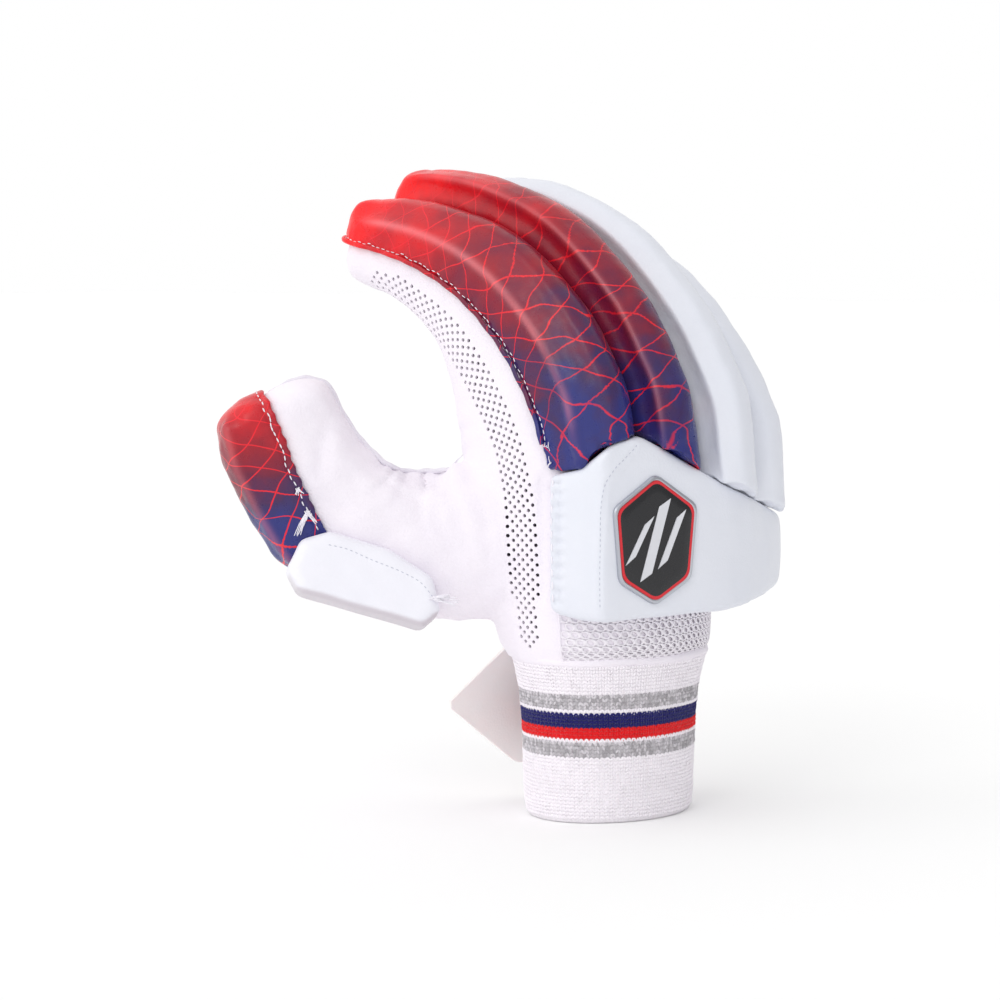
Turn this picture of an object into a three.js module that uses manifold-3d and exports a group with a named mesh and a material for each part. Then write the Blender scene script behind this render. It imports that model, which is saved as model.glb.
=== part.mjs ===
// A right-hand cricket batting glove, standing on its knitted cuff, hollow for the hand and all five fingers.
// Millimetres. X runs from the palm to the back of the hand, Y from the index finger to the little finger, Z up.
import * as THREE from 'three';
import { mergeVertices } from 'three/addons/utils/BufferGeometryUtils.js';
import Module from 'manifold-3d';

const wasm = await Module();
wasm.setup();

// Clearances and walls
const GAP = 0.3; // between pieces that touch
const LEATHER = 1.8; // palm, fingers and thumb
const CUFF_WALL = 4.5; // ribbed knit
const STRAP_WALL = 2;
const BADGE_WALL = 2.4;

// Cuff
const CUFF_HEIGHT = 62;
const CUFF_WIDTH = 77;
const CUFF_DEPTH = 61;

// Hand
const FINGER_PITCH = 25;
const ROLL_SPACING = 0.5; // free width between neighbouring rolls
const HAND_WIDTH = 4 * FINGER_PITCH;
const HAND_DEPTH = 67; // palm to back where the fingers begin
const PALM_HEIGHT = 64; // cuff to the middle of the finger roots
const PALM_LEAN = -9; // how far the palm's middle leans towards the palm side at the finger roots
const ROOT_DROP = 20; // the little finger's edge of the root line lies this much lower than the index finger's
const SEAM_BACK = 9; // where the palm leather meets the mesh, behind the palm's middle

// Fingers
const FINGER_REACH = 77; // longest way forward from the root to the tip
const FINGER_RISE = 99; // highest rise from the root to the tip
const FINGER_WIDTH = 21;
const FINGER_DEPTH = 25;
const FINGER_TIP = 8.5; // length of the rounded fingertip
const ROLL_WALL = 37; // thickest padding on the back of a finger
const ROLL_TIP = 11; // length of the rounded end of a roll

// Thumb
const THUMB_REACH = 93; // from inside the palm out to the tip
const THUMB_RISE = 55;
const THUMB_HEADING = 45; // degrees from the palm side towards the index side
const THUMB_DEPTH = 35; // in the plane of the thumb
const THUMB_WIDTH = 25;
const THUMB_TIP = 9; // length of the rounded thumb tip
const THUMB_ROOT_DEPTH = 60;
const THUMB_ROOT_SPREAD = 14; // how much wider the thumb is at its root
const THUMB_PAD = 15;
const THUMB_PAD_SIDE = 1.5; // how far the tip pad stands out on each side of the thumb
const THUMB_PAD_TIP = 10;
const THUMB_PLATE_LENGTH = 58;
const THUMB_PLATE_HEIGHT = 27;
const THUMB_PLATE_WALL = 9;

// Wrist pad, badge and strap
const PAD_WALL = 15;
const PAD_EDGE = 3.2; // rounding of the pad's rim
const BADGE_WIDTH = 38;
const BADGE_HEIGHT = 50;
const STRAP_WIDTH = 50;
const STRAP_FREE = 58; // length that stands off the cuff

const WELD = 0.002; // points of a mesh closer than this are one point
const SLIVER = 0.02; // a cut solid's surface may move this little when its slivers are smoothed away
const UP = new THREE.Vector3(0, 0, 1);
const handTop = CUFF_HEIGHT + PALM_HEIGHT;
const rootSlope = ROOT_DROP / HAND_WIDTH;

// Makes a closed mesh from rings of equal point count. Ends are a fan to the ring's middle, or the rings run round
// in a loop.
function loft(rings, looped = false) {
  const count = rings[0].length;
  const vertices = rings.flat();
  const faces = [];
  const last = looped ? rings.length : rings.length - 1;
  for (let row = 0; row < last; row++) {
    const here = row * count;
    const next = ((row + 1) % rings.length) * count;
    for (let i = 0; i < count; i++) {
      const j = (i + 1) % count;
      faces.push([here + i, here + j, next + j], [here + i, next + j, next + i]);
    }
  }
  if (!looped) {
    for (const row of [0, rings.length - 1]) {
      const middle = rings[row].reduce((sum, p) => sum.add(p), new THREE.Vector3()).divideScalar(count);
      const centre = vertices.push(middle) - 1;
      for (let i = 0; i < count; i++) {
        const a = row * count + i;
        const b = row * count + ((i + 1) % count);
        faces.push(row === 0 ? [b, a, centre] : [a, b, centre]);
      }
    }
  }
  const signed = faces.reduce((sum, [a, b, c]) => sum
    + vertices[a].dot(new THREE.Vector3().crossVectors(vertices[b], vertices[c])), 0);
  if (signed < 0) faces.forEach((face) => face.reverse());
  const geometry = new THREE.BufferGeometry().setFromPoints(vertices);
  geometry.setIndex(faces.flat());
  return geometry;
}

function solid(geometry) {
  const bare = new THREE.BufferGeometry().setAttribute('position', geometry.getAttribute('position'));
  bare.setIndex(geometry.index);
  const merged = mergeVertices(bare, WELD);
  return new wasm.Manifold(new wasm.Mesh({
    numProp: 3,
    vertProperties: merged.attributes.position.array,
    triVerts: new Uint32Array(merged.index.array),
  }));
}

function geometryOf(body) {
  const mesh = body.getMesh();
  const geometry = new THREE.BufferGeometry();
  geometry.setAttribute('position', new THREE.BufferAttribute(mesh.vertProperties, 3));
  geometry.setIndex(new THREE.BufferAttribute(mesh.triVerts, 1));
  return geometry.toNonIndexed();
}

// The largest body of a cut solid, once its slivers are smoothed away: a cut can leave a crumb behind.
function largest(body) {
  const clean = solid(geometryOf(body.simplify(SLIVER)));
  return clean.decompose().reduce((best, one) => (one.volume() > best.volume() ? one : best));
}

function cutBy(body, others) {
  return others.reduce((rest, other) => rest.subtract(other), body);
}

// Points of a rounded box outline from one angle to another, as pairs across and out.
function outline(halfWidth, halfDepth, squareness, from, to, count) {
  return Array.from({ length: count }, (_, i) => {
    const angle = THREE.MathUtils.degToRad(from + (to - from) * (i / count));
    const bend = (value) => Math.sign(value) * Math.abs(value) ** (2 / squareness);
    return [halfWidth * bend(Math.cos(angle)), halfDepth * bend(Math.sin(angle))];
  });
}

function blend(a, b, share) {
  return a + (b - a) * share;
}

// Reads a table of rows with numbers in named columns at any place from 0 to 1 along it.
function read(rows, place) {
  const at = THREE.MathUtils.clamp(place, 0, 1) * (rows.length - 1);
  const low = Math.min(Math.floor(at), rows.length - 2);
  return Object.fromEntries(Object.keys(rows[0]).map((key) => [
    key, blend(rows[low][key], rows[low + 1][key], at - low),
  ]));
}

// Cuff: outer outline by height, as shares of the cuff's height, width and depth
const CUFF_ROWS = [
  { height: 0, girth: 0.93 },
  { height: 0.03, girth: 0.965 },
  { height: 0.1, girth: 0.985 },
  { height: 0.33, girth: 1 },
  { height: 0.62, girth: 1.015 },
  { height: 0.8, girth: 1.05 },
  { height: 0.92, girth: 1.1 },
  { height: 1, girth: 1.14 },
];
const CUFF_SIDES = 32;
const HEM_SHARE = 0.8; // the hem is rolled to this share of the wall

function cuffRing(height, girth, inset) {
  return outline(CUFF_WIDTH / 2 * girth - inset, CUFF_DEPTH / 2 * girth - inset, 2, 0, 360, CUFF_SIDES)
    .map(([across, out]) => new THREE.Vector3(out, across, height * CUFF_HEIGHT));
}

function cuffSolid() {
  const outside = CUFF_ROWS.map((row) => cuffRing(row.height, row.girth, 0));
  const inside = CUFF_ROWS.map((row) => cuffRing(row.height, row.girth, CUFF_WALL)).reverse();
  const rim = CUFF_ROWS[0];
  inside[inside.length - 1] = cuffRing(rim.height, rim.girth, CUFF_WALL * HEM_SHARE);
  return solid(loft([...outside, ...inside], true));
}

// Hand: palm and back faces by height, as shares of the cuff's flared top, the hand's depth and width
const HAND_ROWS = [
  { height: 0, palm: 0.525, back: 0.5, width: 0.88, square: 2, slope: 0 },
  { height: 0.07, palm: 0.57, back: 0.535, width: 0.92, square: 2.05, slope: 0 },
  { height: 0.25, palm: 0.585, back: 0.54, width: 0.95, square: 2.15, slope: 0.1 },
  { height: 0.5, palm: 0.555, back: 0.52, width: 0.98, square: 2.3, slope: 0.4 },
  { height: 0.75, palm: 0.52, back: 0.5, width: 0.995, square: 2.45, slope: 0.75 },
  { height: 1, palm: 0.5, back: 0.5, width: 1, square: 2.6, slope: 1 },
];
const HAND_SIDES = 36;
const SECTION_SHEAR = 0.09; // the little finger's side sits this share of its offset further back

function handMiddle(height) {
  return PALM_LEAN * height;
}

function handRing(row, grow, lift = 0) {
  const half = HAND_DEPTH * (row.palm + row.back) / 2 + grow;
  const middle = handMiddle(row.height) + HAND_DEPTH * (row.back - row.palm) / 2;
  return outline(HAND_WIDTH / 2 * row.width + grow, half, row.square, 0, 360, HAND_SIDES)
    .map(([across, out]) => new THREE.Vector3(
      middle + out + SECTION_SHEAR * across * row.height,
      across,
      CUFF_HEIGHT + GAP + (PALM_HEIGHT - 2 * GAP) * row.height - rootSlope * row.slope * across + lift,
    ));
}

// The hand's outer body, grown or shrunk, with its ends moved out by the given lengths.
function handBody(grow, below = 0, above = 0) {
  const rings = HAND_ROWS.map((row) => handRing(row, grow));
  if (below) rings.unshift(handRing(HAND_ROWS[0], grow, -below));
  if (above) rings.push(handRing(HAND_ROWS[HAND_ROWS.length - 1], grow, above));
  return solid(loft(rings));
}

// Half the hand's depth at the root line, for a finger whose middle lies across the hand by this much.
function rootHalfDepth(across) {
  const top = HAND_ROWS[HAND_ROWS.length - 1];
  const share = Math.abs(across) / (HAND_WIDTH / 2);
  return HAND_DEPTH * (top.palm + top.back) / 2 * (1 - share ** top.square) ** (1 / top.square);
}

// Fingers: middle line, depth and roll from root to tip. Reach and rise are shares of each finger's own,
// root is how much of the root's depth is left, roll the share of the roll's full height, spread how much of the
// root's extra width is left, and lap the share of the half depth at which a roll's sewn edge lies.
const FINGER_ROWS = [
  { reach: 0, rise: 0, root: 1, roll: 0.92, spread: 1, lap: 0.76 },
  { reach: 0.06, rise: 0.25, root: 0.94, roll: 1, spread: 0.55, lap: 0.66 },
  { reach: 0.17, rise: 0.5, root: 0.76, roll: 0.88, spread: 0.2, lap: 0.52 },
  { reach: 0.34, rise: 0.72, root: 0.46, roll: 0.74, spread: 0, lap: 0.38 },
  { reach: 0.57, rise: 0.87, root: 0.2, roll: 0.62, spread: 0, lap: 0.32 },
  { reach: 0.8, rise: 0.955, root: 0.04, roll: 0.52, spread: 0, lap: 0.3 },
  { reach: 1, rise: 1, root: -0.06, roll: 0.42, spread: 0, lap: 0.3 },
];
// Each finger's place across the hand in pitches, and its own reach, rise and padding as shares of the largest
const FINGERS = [
  { name: 'index', slot: -1.5, reach: 1, rise: 0.84, roll: 0.675 },
  { name: 'middle', slot: -0.5, reach: 0.987, rise: 1, roll: 0.757 },
  { name: 'ring', slot: 0.5, reach: 0.857, rise: 0.99, roll: 0.973 },
  { name: 'little', slot: 1.5, reach: 0.65, rise: 0.84, roll: 1 },
];
const THUMB_ROWS = [
  { reach: 0, rise: 0.08, root: 1, roll: 0, spread: 1, lap: 0.42 },
  { reach: 0.27, rise: 0.02, root: 0.92, roll: 0, spread: 0.8, lap: 0.42 },
  { reach: 0.53, rise: 0.05, root: 0.82, roll: 0, spread: 0.45, lap: 0.42 },
  { reach: 0.74, rise: 0.22, root: 0.56, roll: 0.5, spread: 0.2, lap: 0.42 },
  { reach: 0.86, rise: 0.5, root: 0.14, roll: 0.82, spread: 0.05, lap: 0.42 },
  { reach: 0.94, rise: 0.8, root: 0, roll: 1, spread: 0, lap: 0.42 },
  { reach: 0.99, rise: 1, root: -0.05, roll: 0.9, spread: 0, lap: 0.42 },
];
const FINGER_SIDES = 16;
const STEPS_PER_ROW = 2;
const DOME_STEPS = 3;
const LIMB_DOME = 0.35; // part of a step that a fingertip's dome leaves open for its end fan
const ROLL_DOME = 0.5;
const NOSE = 0.75; // the tip pad's lower end is narrowed to this share
const NOSE_BLUNT = 0.8; // a dome's height shrinks by this power of its width
const ROOT_WIDTH = FINGER_PITCH - ROLL_SPACING;

// A finger's or the thumb's fixed facts: where it starts, where it heads, and on which side it bulges.
function limbOf(finger) {
  const across = finger.slot * FINGER_PITCH;
  const root = new THREE.Vector3(
    handMiddle(1) + SECTION_SHEAR * across, across, handTop - rootSlope * across + GAP,
  );
  return {
    ...finger, reach: finger.reach * FINGER_REACH, rise: finger.rise * FINGER_RISE, roll: finger.roll * ROLL_WALL,
    root, rows: FINGER_ROWS, heading: new THREE.Vector3(-1, 0, 0), side: 1, level: true,
    rootDepth: 2 * rootHalfDepth(across), depth: FINGER_DEPTH, width: FINGER_WIDTH,
    rootSpread: ROOT_WIDTH - FINGER_WIDTH, tip: FINGER_TIP, square: 2.6, slope: rootSlope,
  };
}

const thumbAngle = THREE.MathUtils.degToRad(THUMB_HEADING);
const THUMB_ROOT = { depth: -0.25, width: -0.29, height: 0.66 }; // shares of the hand's depth, width and palm height
const thumb = {
  name: 'thumb', reach: THUMB_REACH, rise: THUMB_RISE, roll: THUMB_PAD, rows: THUMB_ROWS, side: -1, level: false,
  root: new THREE.Vector3(
    THUMB_ROOT.depth * HAND_DEPTH, THUMB_ROOT.width * HAND_WIDTH, CUFF_HEIGHT + THUMB_ROOT.height * PALM_HEIGHT,
  ),
  heading: new THREE.Vector3(-Math.cos(thumbAngle), -Math.sin(thumbAngle), 0),
  rootDepth: THUMB_ROOT_DEPTH, depth: THUMB_DEPTH, width: THUMB_WIDTH, rootSpread: THUMB_ROOT_SPREAD,
  tip: THUMB_TIP, square: 2.3, slope: 0,
};

function spineOf(limb) {
  return new THREE.CatmullRomCurve3(limb.rows.map((row) => limb.root.clone()
    .addScaledVector(limb.heading, limb.reach * row.reach)
    .addScaledVector(UP, limb.rise * row.rise)), false, 'centripetal');
}

// Where the limb is at a place from 0 to 1, with its three directions and its sizes there.
function stationOf(limb, place) {
  const spine = spineOf(limb);
  const along = spine.getTangent(place);
  if (limb.level && place === 0) along.copy(UP);
  const row = read(limb.rows, place);
  const rise = along.dot(UP);
  const run = along.dot(limb.heading);
  const out = limb.heading.clone().multiplyScalar(-rise).addScaledVector(UP, run).multiplyScalar(limb.side);
  return {
    point: spine.getPoint(place), along, out,
    across: new THREE.Vector3().crossVectors(limb.heading, UP),
    halfDepth: (limb.depth + row.root * (limb.rootDepth - limb.depth)) / 2,
    halfWidth: (limb.width + row.spread * limb.rootSpread) / 2,
    roll: limb.roll * row.roll,
    lap: row.lap,
    slope: place === 0 ? limb.slope : 0,
  };
}

function placed(station, across, out, ahead = 0) {
  return station.point.clone()
    .addScaledVector(station.across, across)
    .addScaledVector(station.out, out)
    .addScaledVector(station.along, ahead - station.slope * across);
}

// The limb's outer body, grown or shrunk, from its root to its rounded tip.
function limbBody(limb, grow, below = 0) {
  const steps = (limb.rows.length - 1) * STEPS_PER_ROW;
  const rings = [];
  for (let i = 0; i <= steps; i++) {
    const station = stationOf(limb, i / steps);
    const shape = outline(
      station.halfWidth + grow, station.halfDepth + grow, limb.square, 0, 360, FINGER_SIDES,
    );
    if (i === 0 && below) rings.push(shape.map(([across, out]) => placed(station, across, out, -below)));
    rings.push(shape.map(([across, out]) => placed(station, across, out)));
  }
  const end = stationOf(limb, 1);
  for (let i = 1; i <= DOME_STEPS; i++) {
    const turn = (i / (DOME_STEPS + LIMB_DOME)) * Math.PI / 2;
    const shape = outline(end.halfWidth + grow, end.halfDepth + grow, limb.square, 0, 360, FINGER_SIDES);
    rings.push(shape.map(([across, out]) => placed(
      end, across * Math.cos(turn), out * Math.cos(turn), (limb.tip + grow) * Math.sin(turn),
    )));
  }
  return solid(loft(rings));
}

// A padded roll along the limb's bulging side, before the limb is cut out of it: a flat base and a rounded top.
const ROLL_SIDES = 14;
const ROLL_SQUARE = 3.2;

function rollBody(limb, { from, halfWidth, tip }, grow = 0) {
  const steps = (limb.rows.length - 1) * STEPS_PER_ROW;
  const first = Math.round(from * steps);
  const ring = (station, share, ahead) => {
    const base = station.halfDepth * station.lap;
    const height = station.halfDepth + station.roll - base + 2 * grow;
    const arc = outline(halfWidth + grow, height, ROLL_SQUARE, 0, 180, ROLL_SIDES - 1);
    arc.push([-halfWidth - grow, 0]);
    return arc.map(([across, out]) => placed(station, across * share, base - grow + out * share ** NOSE_BLUNT, ahead));
  };
  const rings = [];
  for (let i = first; i <= steps; i++) {
    const station = stationOf(limb, i / steps);
    const nose = from > 0 && i === first ? NOSE : 1;
    rings.push(ring(station, nose, i === first ? -grow : 0));
  }
  const end = stationOf(limb, 1);
  for (let i = 1; i <= DOME_STEPS; i++) {
    const turn = (i / (DOME_STEPS + ROLL_DOME)) * Math.PI / 2;
    rings.push(ring(end, Math.cos(turn), (tip + grow) * Math.sin(turn)));
  }
  return solid(loft(rings));
}

// Wrist pad: its outer face in plan, as shares of half the hand's depth and width, and its lower and upper
// edges as shares of the palm's height above the cuff
const PAD_ROWS = [
  { x: 0.3, y: -1.045, low: 0.34, high: 1.13, wall: 0.9 },
  { x: 0.38, y: -1.05, low: 0.31, high: 1.14, wall: 1 },
  { x: 0.66, y: -1.01, low: 0.28, high: 1.17, wall: 1 },
  { x: 0.93, y: -0.95, low: 0.27, high: 1.28, wall: 1 },
  { x: 0.985, y: -0.87, low: 0.27, high: 1.33, wall: 1.1 },
  { x: 1.12, y: -0.63, low: 0.275, high: 1.36, wall: 1.2 },
  { x: 1.27, y: -0.37, low: 0.28, high: 1.26, wall: 1.25 },
  { x: 1.42, y: -0.1, low: 0.285, high: 1.15, wall: 1.3 },
  { x: 1.5, y: 0.15, low: 0.285, high: 1.06, wall: 1.3 },
  { x: 1.53, y: 0.42, low: 0.31, high: 0.99, wall: 1.2 },
  { x: 1.48, y: 0.72, low: 0.345, high: 0.91, wall: 1.1 },
  { x: 1.36, y: 1.0, low: 0.38, high: 0.85, wall: 0.9 },
  { x: 1.27, y: 1.1, low: 0.41, high: 0.82, wall: 0.7 },
];

// The pad's body, grown by a clearance, with its outer face moved out where it stands for the room in front of
// it. Its walls run from the outer face towards the middle of the hand, so they never cross at the sharp corner.
function padBody(grow, proud = 0) {
  const face = PAD_ROWS.map((row) => new THREE.Vector2(row.x * HAND_DEPTH / 2, row.y * HAND_WIDTH / 2));
  const rings = PAD_ROWS.map((row, i) => {
    const before = face[Math.max(i - 1, 0)];
    const after = face[Math.min(i + 1, face.length - 1)];
    const run = after.clone().sub(before).normalize();
    const outward = new THREE.Vector2(run.y, -run.x);
    const core = face[i].clone().negate().normalize();
    const low = CUFF_HEIGHT + PALM_HEIGHT * row.low - grow;
    const high = CUFF_HEIGHT + PALM_HEIGHT * row.high + grow;
    const wall = PAD_WALL * row.wall;
    const edge = Math.min(PAD_EDGE, wall / 2);
    const stretch = i === 0 ? -grow : i === PAD_ROWS.length - 1 ? grow : 0;
    const section = [
      [0, low + edge], [0, (low + high) / 2], [0, high - edge], [0.3 * edge, high - 0.3 * edge], [edge, high],
      [wall, high], [wall, (low + high) / 2], [wall, low], [edge, low], [0.3 * edge, low + 0.3 * edge],
    ];
    return section.map(([depth, z]) => {
      const at = face[i].clone().addScaledVector(core, depth).addScaledVector(run, stretch);
      if (depth < wall) at.addScaledVector(outward, grow + proud);
      else at.addScaledVector(core, grow);
      return new THREE.Vector3(at.x, at.y, z);
    });
  });
  return solid(loft(rings));
}

// Badge: a hexagonal plaque with a bevelled rim, laid on the flat facet of the pad
const BADGE_FACET = [3, 7]; // the first and last row of the pad's flat facet
const BADGE_LEVEL = 0.75; // its middle, as a share of the palm's height above the cuff
const BADGE_CORNERS = [[0, 1], [1, 0.5], [0.86, -0.62], [0, -1], [-0.86, -0.62], [-1, 0.5]];
const BADGE_BEVEL = 1;
const BADGE_SEAT = 0.2; // share of the pad's wall that the plaque's body runs in before the pad is cut out

function badgeSolid(pad) {
  const shape = new THREE.Shape(BADGE_CORNERS.map(([x, y]) => new THREE.Vector2(
    x * (BADGE_WIDTH / 2 - BADGE_BEVEL), y * (BADGE_HEIGHT / 2 - BADGE_BEVEL),
  )));
  const seat = PAD_WALL * BADGE_SEAT;
  const geometry = new THREE.ExtrudeGeometry(shape, {
    depth: BADGE_WALL - BADGE_BEVEL + seat, bevelThickness: BADGE_BEVEL, bevelSize: BADGE_BEVEL,
    bevelSegments: 2, steps: 1,
  });
  geometry.deleteAttribute('normal');
  geometry.deleteAttribute('uv');
  const [first, last] = BADGE_FACET.map((row) => new THREE.Vector3(
    PAD_ROWS[row].x * HAND_DEPTH / 2, PAD_ROWS[row].y * HAND_WIDTH / 2, CUFF_HEIGHT + PALM_HEIGHT * BADGE_LEVEL,
  ));
  const across = last.clone().sub(first).normalize();
  const out = new THREE.Vector3().crossVectors(across, UP);
  const middle = first.clone().lerp(last, 0.5).addScaledVector(out, -seat);
  geometry.applyMatrix4(new THREE.Matrix4().makeBasis(across, UP, out).setPosition(middle));
  return largest(solid(geometry).subtract(pad));
}

// Strap: follows the cuff on the little finger's palm side, then stands off in a straight line to a pointed end
const STRAP_LEVEL = 0.64; // its middle, as a share of the cuff's height
const STRAP_START = 66; // degrees round the cuff from the palm side
const STRAP_LEAVE = 30;
const STRAP_POINT = 0.5; // share of the free length that tapers to the point
const STRAP_HUG = 4;
const STRAP_END = 0.06; // share of the width left at the point

function strapSolid() {
  const { girth } = CUFF_ROWS[CUFF_ROWS.length - 1];
  const depth = CUFF_DEPTH / 2 * girth + GAP;
  const width = CUFF_WIDTH / 2 * girth + GAP;
  const rows = [];
  for (let i = 0; i <= STRAP_HUG; i++) {
    const turn = THREE.MathUtils.degToRad(blend(STRAP_START, STRAP_LEAVE, i / STRAP_HUG));
    const point = new THREE.Vector2(-depth * Math.cos(turn), width * Math.sin(turn));
    const run = new THREE.Vector2(-depth * Math.sin(turn), -width * Math.cos(turn)).normalize();
    rows.push({ point, run, share: 1 });
  }
  const { point: leave, run } = rows[rows.length - 1];
  for (const share of [1 - STRAP_POINT, 1]) {
    const point = leave.clone().addScaledVector(run, STRAP_FREE * share);
    rows.push({ point, run, share: share === 1 ? STRAP_END : 1 });
  }
  const middle = CUFF_HEIGHT * STRAP_LEVEL;
  return solid(loft(rows.map(({ point, run: ahead, share }) => {
    const out = new THREE.Vector2(ahead.y, -ahead.x);
    const half = STRAP_WIDTH / 2 * share;
    return [[0, -1], [0, 1], [STRAP_WALL, 1], [STRAP_WALL, -1]].map(([depthOut, side]) => {
      const at = point.clone().addScaledVector(out, depthOut);
      return new THREE.Vector3(at.x, at.y, middle + half * side);
    });
  })));
}

// Thumb plate: a padded plate on the outer side of the thumb's lower joint, tipped back a little
const PLATE_CORNERS = [
  [-0.5, -0.12], [-0.46, 0.3], [-0.3, 0.5], [0.1, 0.42], [0.42, 0.12], [0.5, -0.3], [0.44, -0.5], [-0.42, -0.36],
];
const PLATE_SEAT = 0.3; // share of the thumb's width that the plate's body runs in before the thumb is cut out
const PLATE_PLACE = 0.4; // along the thumb
const PLATE_TIP = 14; // degrees that its upper edge leans inwards
const PLATE_SLOPE = 13; // degrees that its end at the palm hangs lower
const PLATE_DROP = 0.72; // share of the thumb's half depth that it sits towards the outer side
const PLATE_BEVEL = 2.5;

function plateSolid(keepOff) {
  const shape = new THREE.Shape(PLATE_CORNERS.map(([x, y]) => new THREE.Vector2(
    x * (THUMB_PLATE_LENGTH - 2 * PLATE_BEVEL), y * (THUMB_PLATE_HEIGHT - 2 * PLATE_BEVEL),
  )));
  const sunk = THUMB_WIDTH * PLATE_SEAT;
  const geometry = new THREE.ExtrudeGeometry(shape, {
    depth: THUMB_PLATE_WALL - PLATE_BEVEL + sunk, bevelThickness: PLATE_BEVEL, bevelSize: PLATE_BEVEL,
    bevelSegments: 2, steps: 1,
  });
  geometry.deleteAttribute('normal');
  geometry.deleteAttribute('uv');
  const station = stationOf(thumb, PLATE_PLACE);
  const outward = station.across.clone().negate();
  const along = thumb.heading.clone().negate();
  const middle = placed(station, -(station.halfWidth - sunk), station.halfDepth * PLATE_DROP);
  geometry.applyMatrix4(new THREE.Matrix4().makeRotationZ(THREE.MathUtils.degToRad(-PLATE_SLOPE)));
  geometry.applyMatrix4(new THREE.Matrix4().makeRotationX(THREE.MathUtils.degToRad(-PLATE_TIP)));
  geometry.applyMatrix4(new THREE.Matrix4().makeBasis(along, UP, outward).setPosition(middle));
  return cutBy(solid(geometry), keepOff);
}

// A block that covers everything on the palm side or on the back side of the seam between leather and mesh.
function seamBlock(palmSide) {
  const reach = 2 * HAND_WIDTH;
  const block = new THREE.BoxGeometry(reach, reach, 2 * reach);
  const edge = SEAM_BACK + (palmSide ? -GAP / 2 : GAP / 2);
  block.translate(edge + (palmSide ? -reach / 2 : reach / 2), 0, 0);
  return solid(block);
}

const colours = {
  white_leather: [0xf4f1fa, 0.55],
  mesh_fabric: [0xefe9f6, 0.8],
  knit: [0xf3eff8, 0.95],
  print_leather: [0xb3202c, 0.4],
  pad_leather: [0xe9eef6, 0.45],
  badge: [0x26262a, 0.3],
  strap: [0xece4e4, 0.6],
};

function piece(name, body, finish) {
  const [color, roughness] = colours[finish];
  const material = new THREE.MeshStandardMaterial({ color, roughness, metalness: 0 });
  const mesh = new THREE.Mesh(geometryOf(body), material);
  mesh.name = name;
  return mesh;
}

const END_CUT = 12; // how far an inner body runs past an open end
const ROLL_HALF_WIDTH = (FINGER_PITCH - ROLL_SPACING) / 2;
const ROLL_OVERHANG = 12; // the rolls end above the pad's upper edge, also this far in front of it

const glove = new THREE.Group();
const limbs = FINGERS.map(limbOf);
const fingersGrown = limbs.map((limb) => limbBody(limb, GAP));
const handGrown = handBody(GAP, GAP);
const handWall = handBody(0).subtract(handBody(-LEATHER, END_CUT, END_CUT));
const thumbInside = limbBody(thumb, -LEATHER);
const thumbGrown = limbBody(thumb, GAP);
const pad = padBody(0);
const padGrown = padBody(GAP);
const padRoom = padBody(GAP, ROLL_OVERHANG).add(padGrown);

glove.add(piece('cuff', cuffSolid(), 'knit'));
glove.add(piece('palm', largest(handWall.intersect(seamBlock(true)).subtract(thumbInside)), 'white_leather'));
glove.add(piece('back_mesh', largest(handWall.intersect(seamBlock(false))), 'mesh_fabric'));

limbs.forEach((limb, i) => {
  const sleeve = limbBody(limb, 0).subtract(limbBody(limb, -LEATHER, END_CUT));
  const roll = rollBody(limb, { from: 0, halfWidth: ROLL_HALF_WIDTH, tip: ROLL_TIP })
    .subtract(fingersGrown[i]).subtract(padRoom);
  glove.add(piece(`${limb.name}_sleeve`, largest(sleeve), 'white_leather'));
  glove.add(piece(`${limb.name}_roll`, largest(roll), limb.slot < 0 ? 'print_leather' : 'pad_leather'));
});

const thumbSleeve = largest(cutBy(limbBody(thumb, 0), [thumbInside, handGrown, ...fingersGrown]));
const tipPadShape = { from: 0.5, halfWidth: THUMB_WIDTH / 2 + THUMB_PAD_SIDE, tip: THUMB_PAD_TIP };
const tipPad = largest(rollBody(thumb, tipPadShape).subtract(thumbGrown));
const tipPadGrown = rollBody(thumb, tipPadShape, GAP);
glove.add(piece('thumb_sleeve', thumbSleeve, 'white_leather'));
glove.add(piece('thumb_tip_pad', tipPad, 'print_leather'));
glove.add(piece('thumb_plate', largest(plateSolid([thumbGrown, handGrown, tipPadGrown])), 'pad_leather'));
glove.add(piece('wrist_pad', largest(cutBy(pad, [handGrown, ...fingersGrown])), 'pad_leather'));
glove.add(piece('wrist_badge', badgeSolid(padGrown), 'badge'));
glove.add(piece('wrist_strap', largest(strapSolid().subtract(handGrown)), 'strap'));

// The origin is the middle of the glove's outline in plan, on the surface that it stands on.
const box = new THREE.Box3().setFromObject(glove);
const middle = box.getCenter(new THREE.Vector3());
glove.position.set(-middle.x, -middle.y, -box.min.z);

export default glove;
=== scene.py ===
# A right-hand cricket batting glove that stands on its knitted cuff on a pale floor.
# The glove's own sizes are in millimetres about the cuff's middle line, and Blender's are metres.
# X runs from the palm to the back of the hand, Y from the index finger to the little finger, Z up.
import math

import bmesh
import bpy
import numpy as np
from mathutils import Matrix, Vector
from mathutils.bvhtree import BVHTree
from mathutils.kdtree import KDTree


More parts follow.
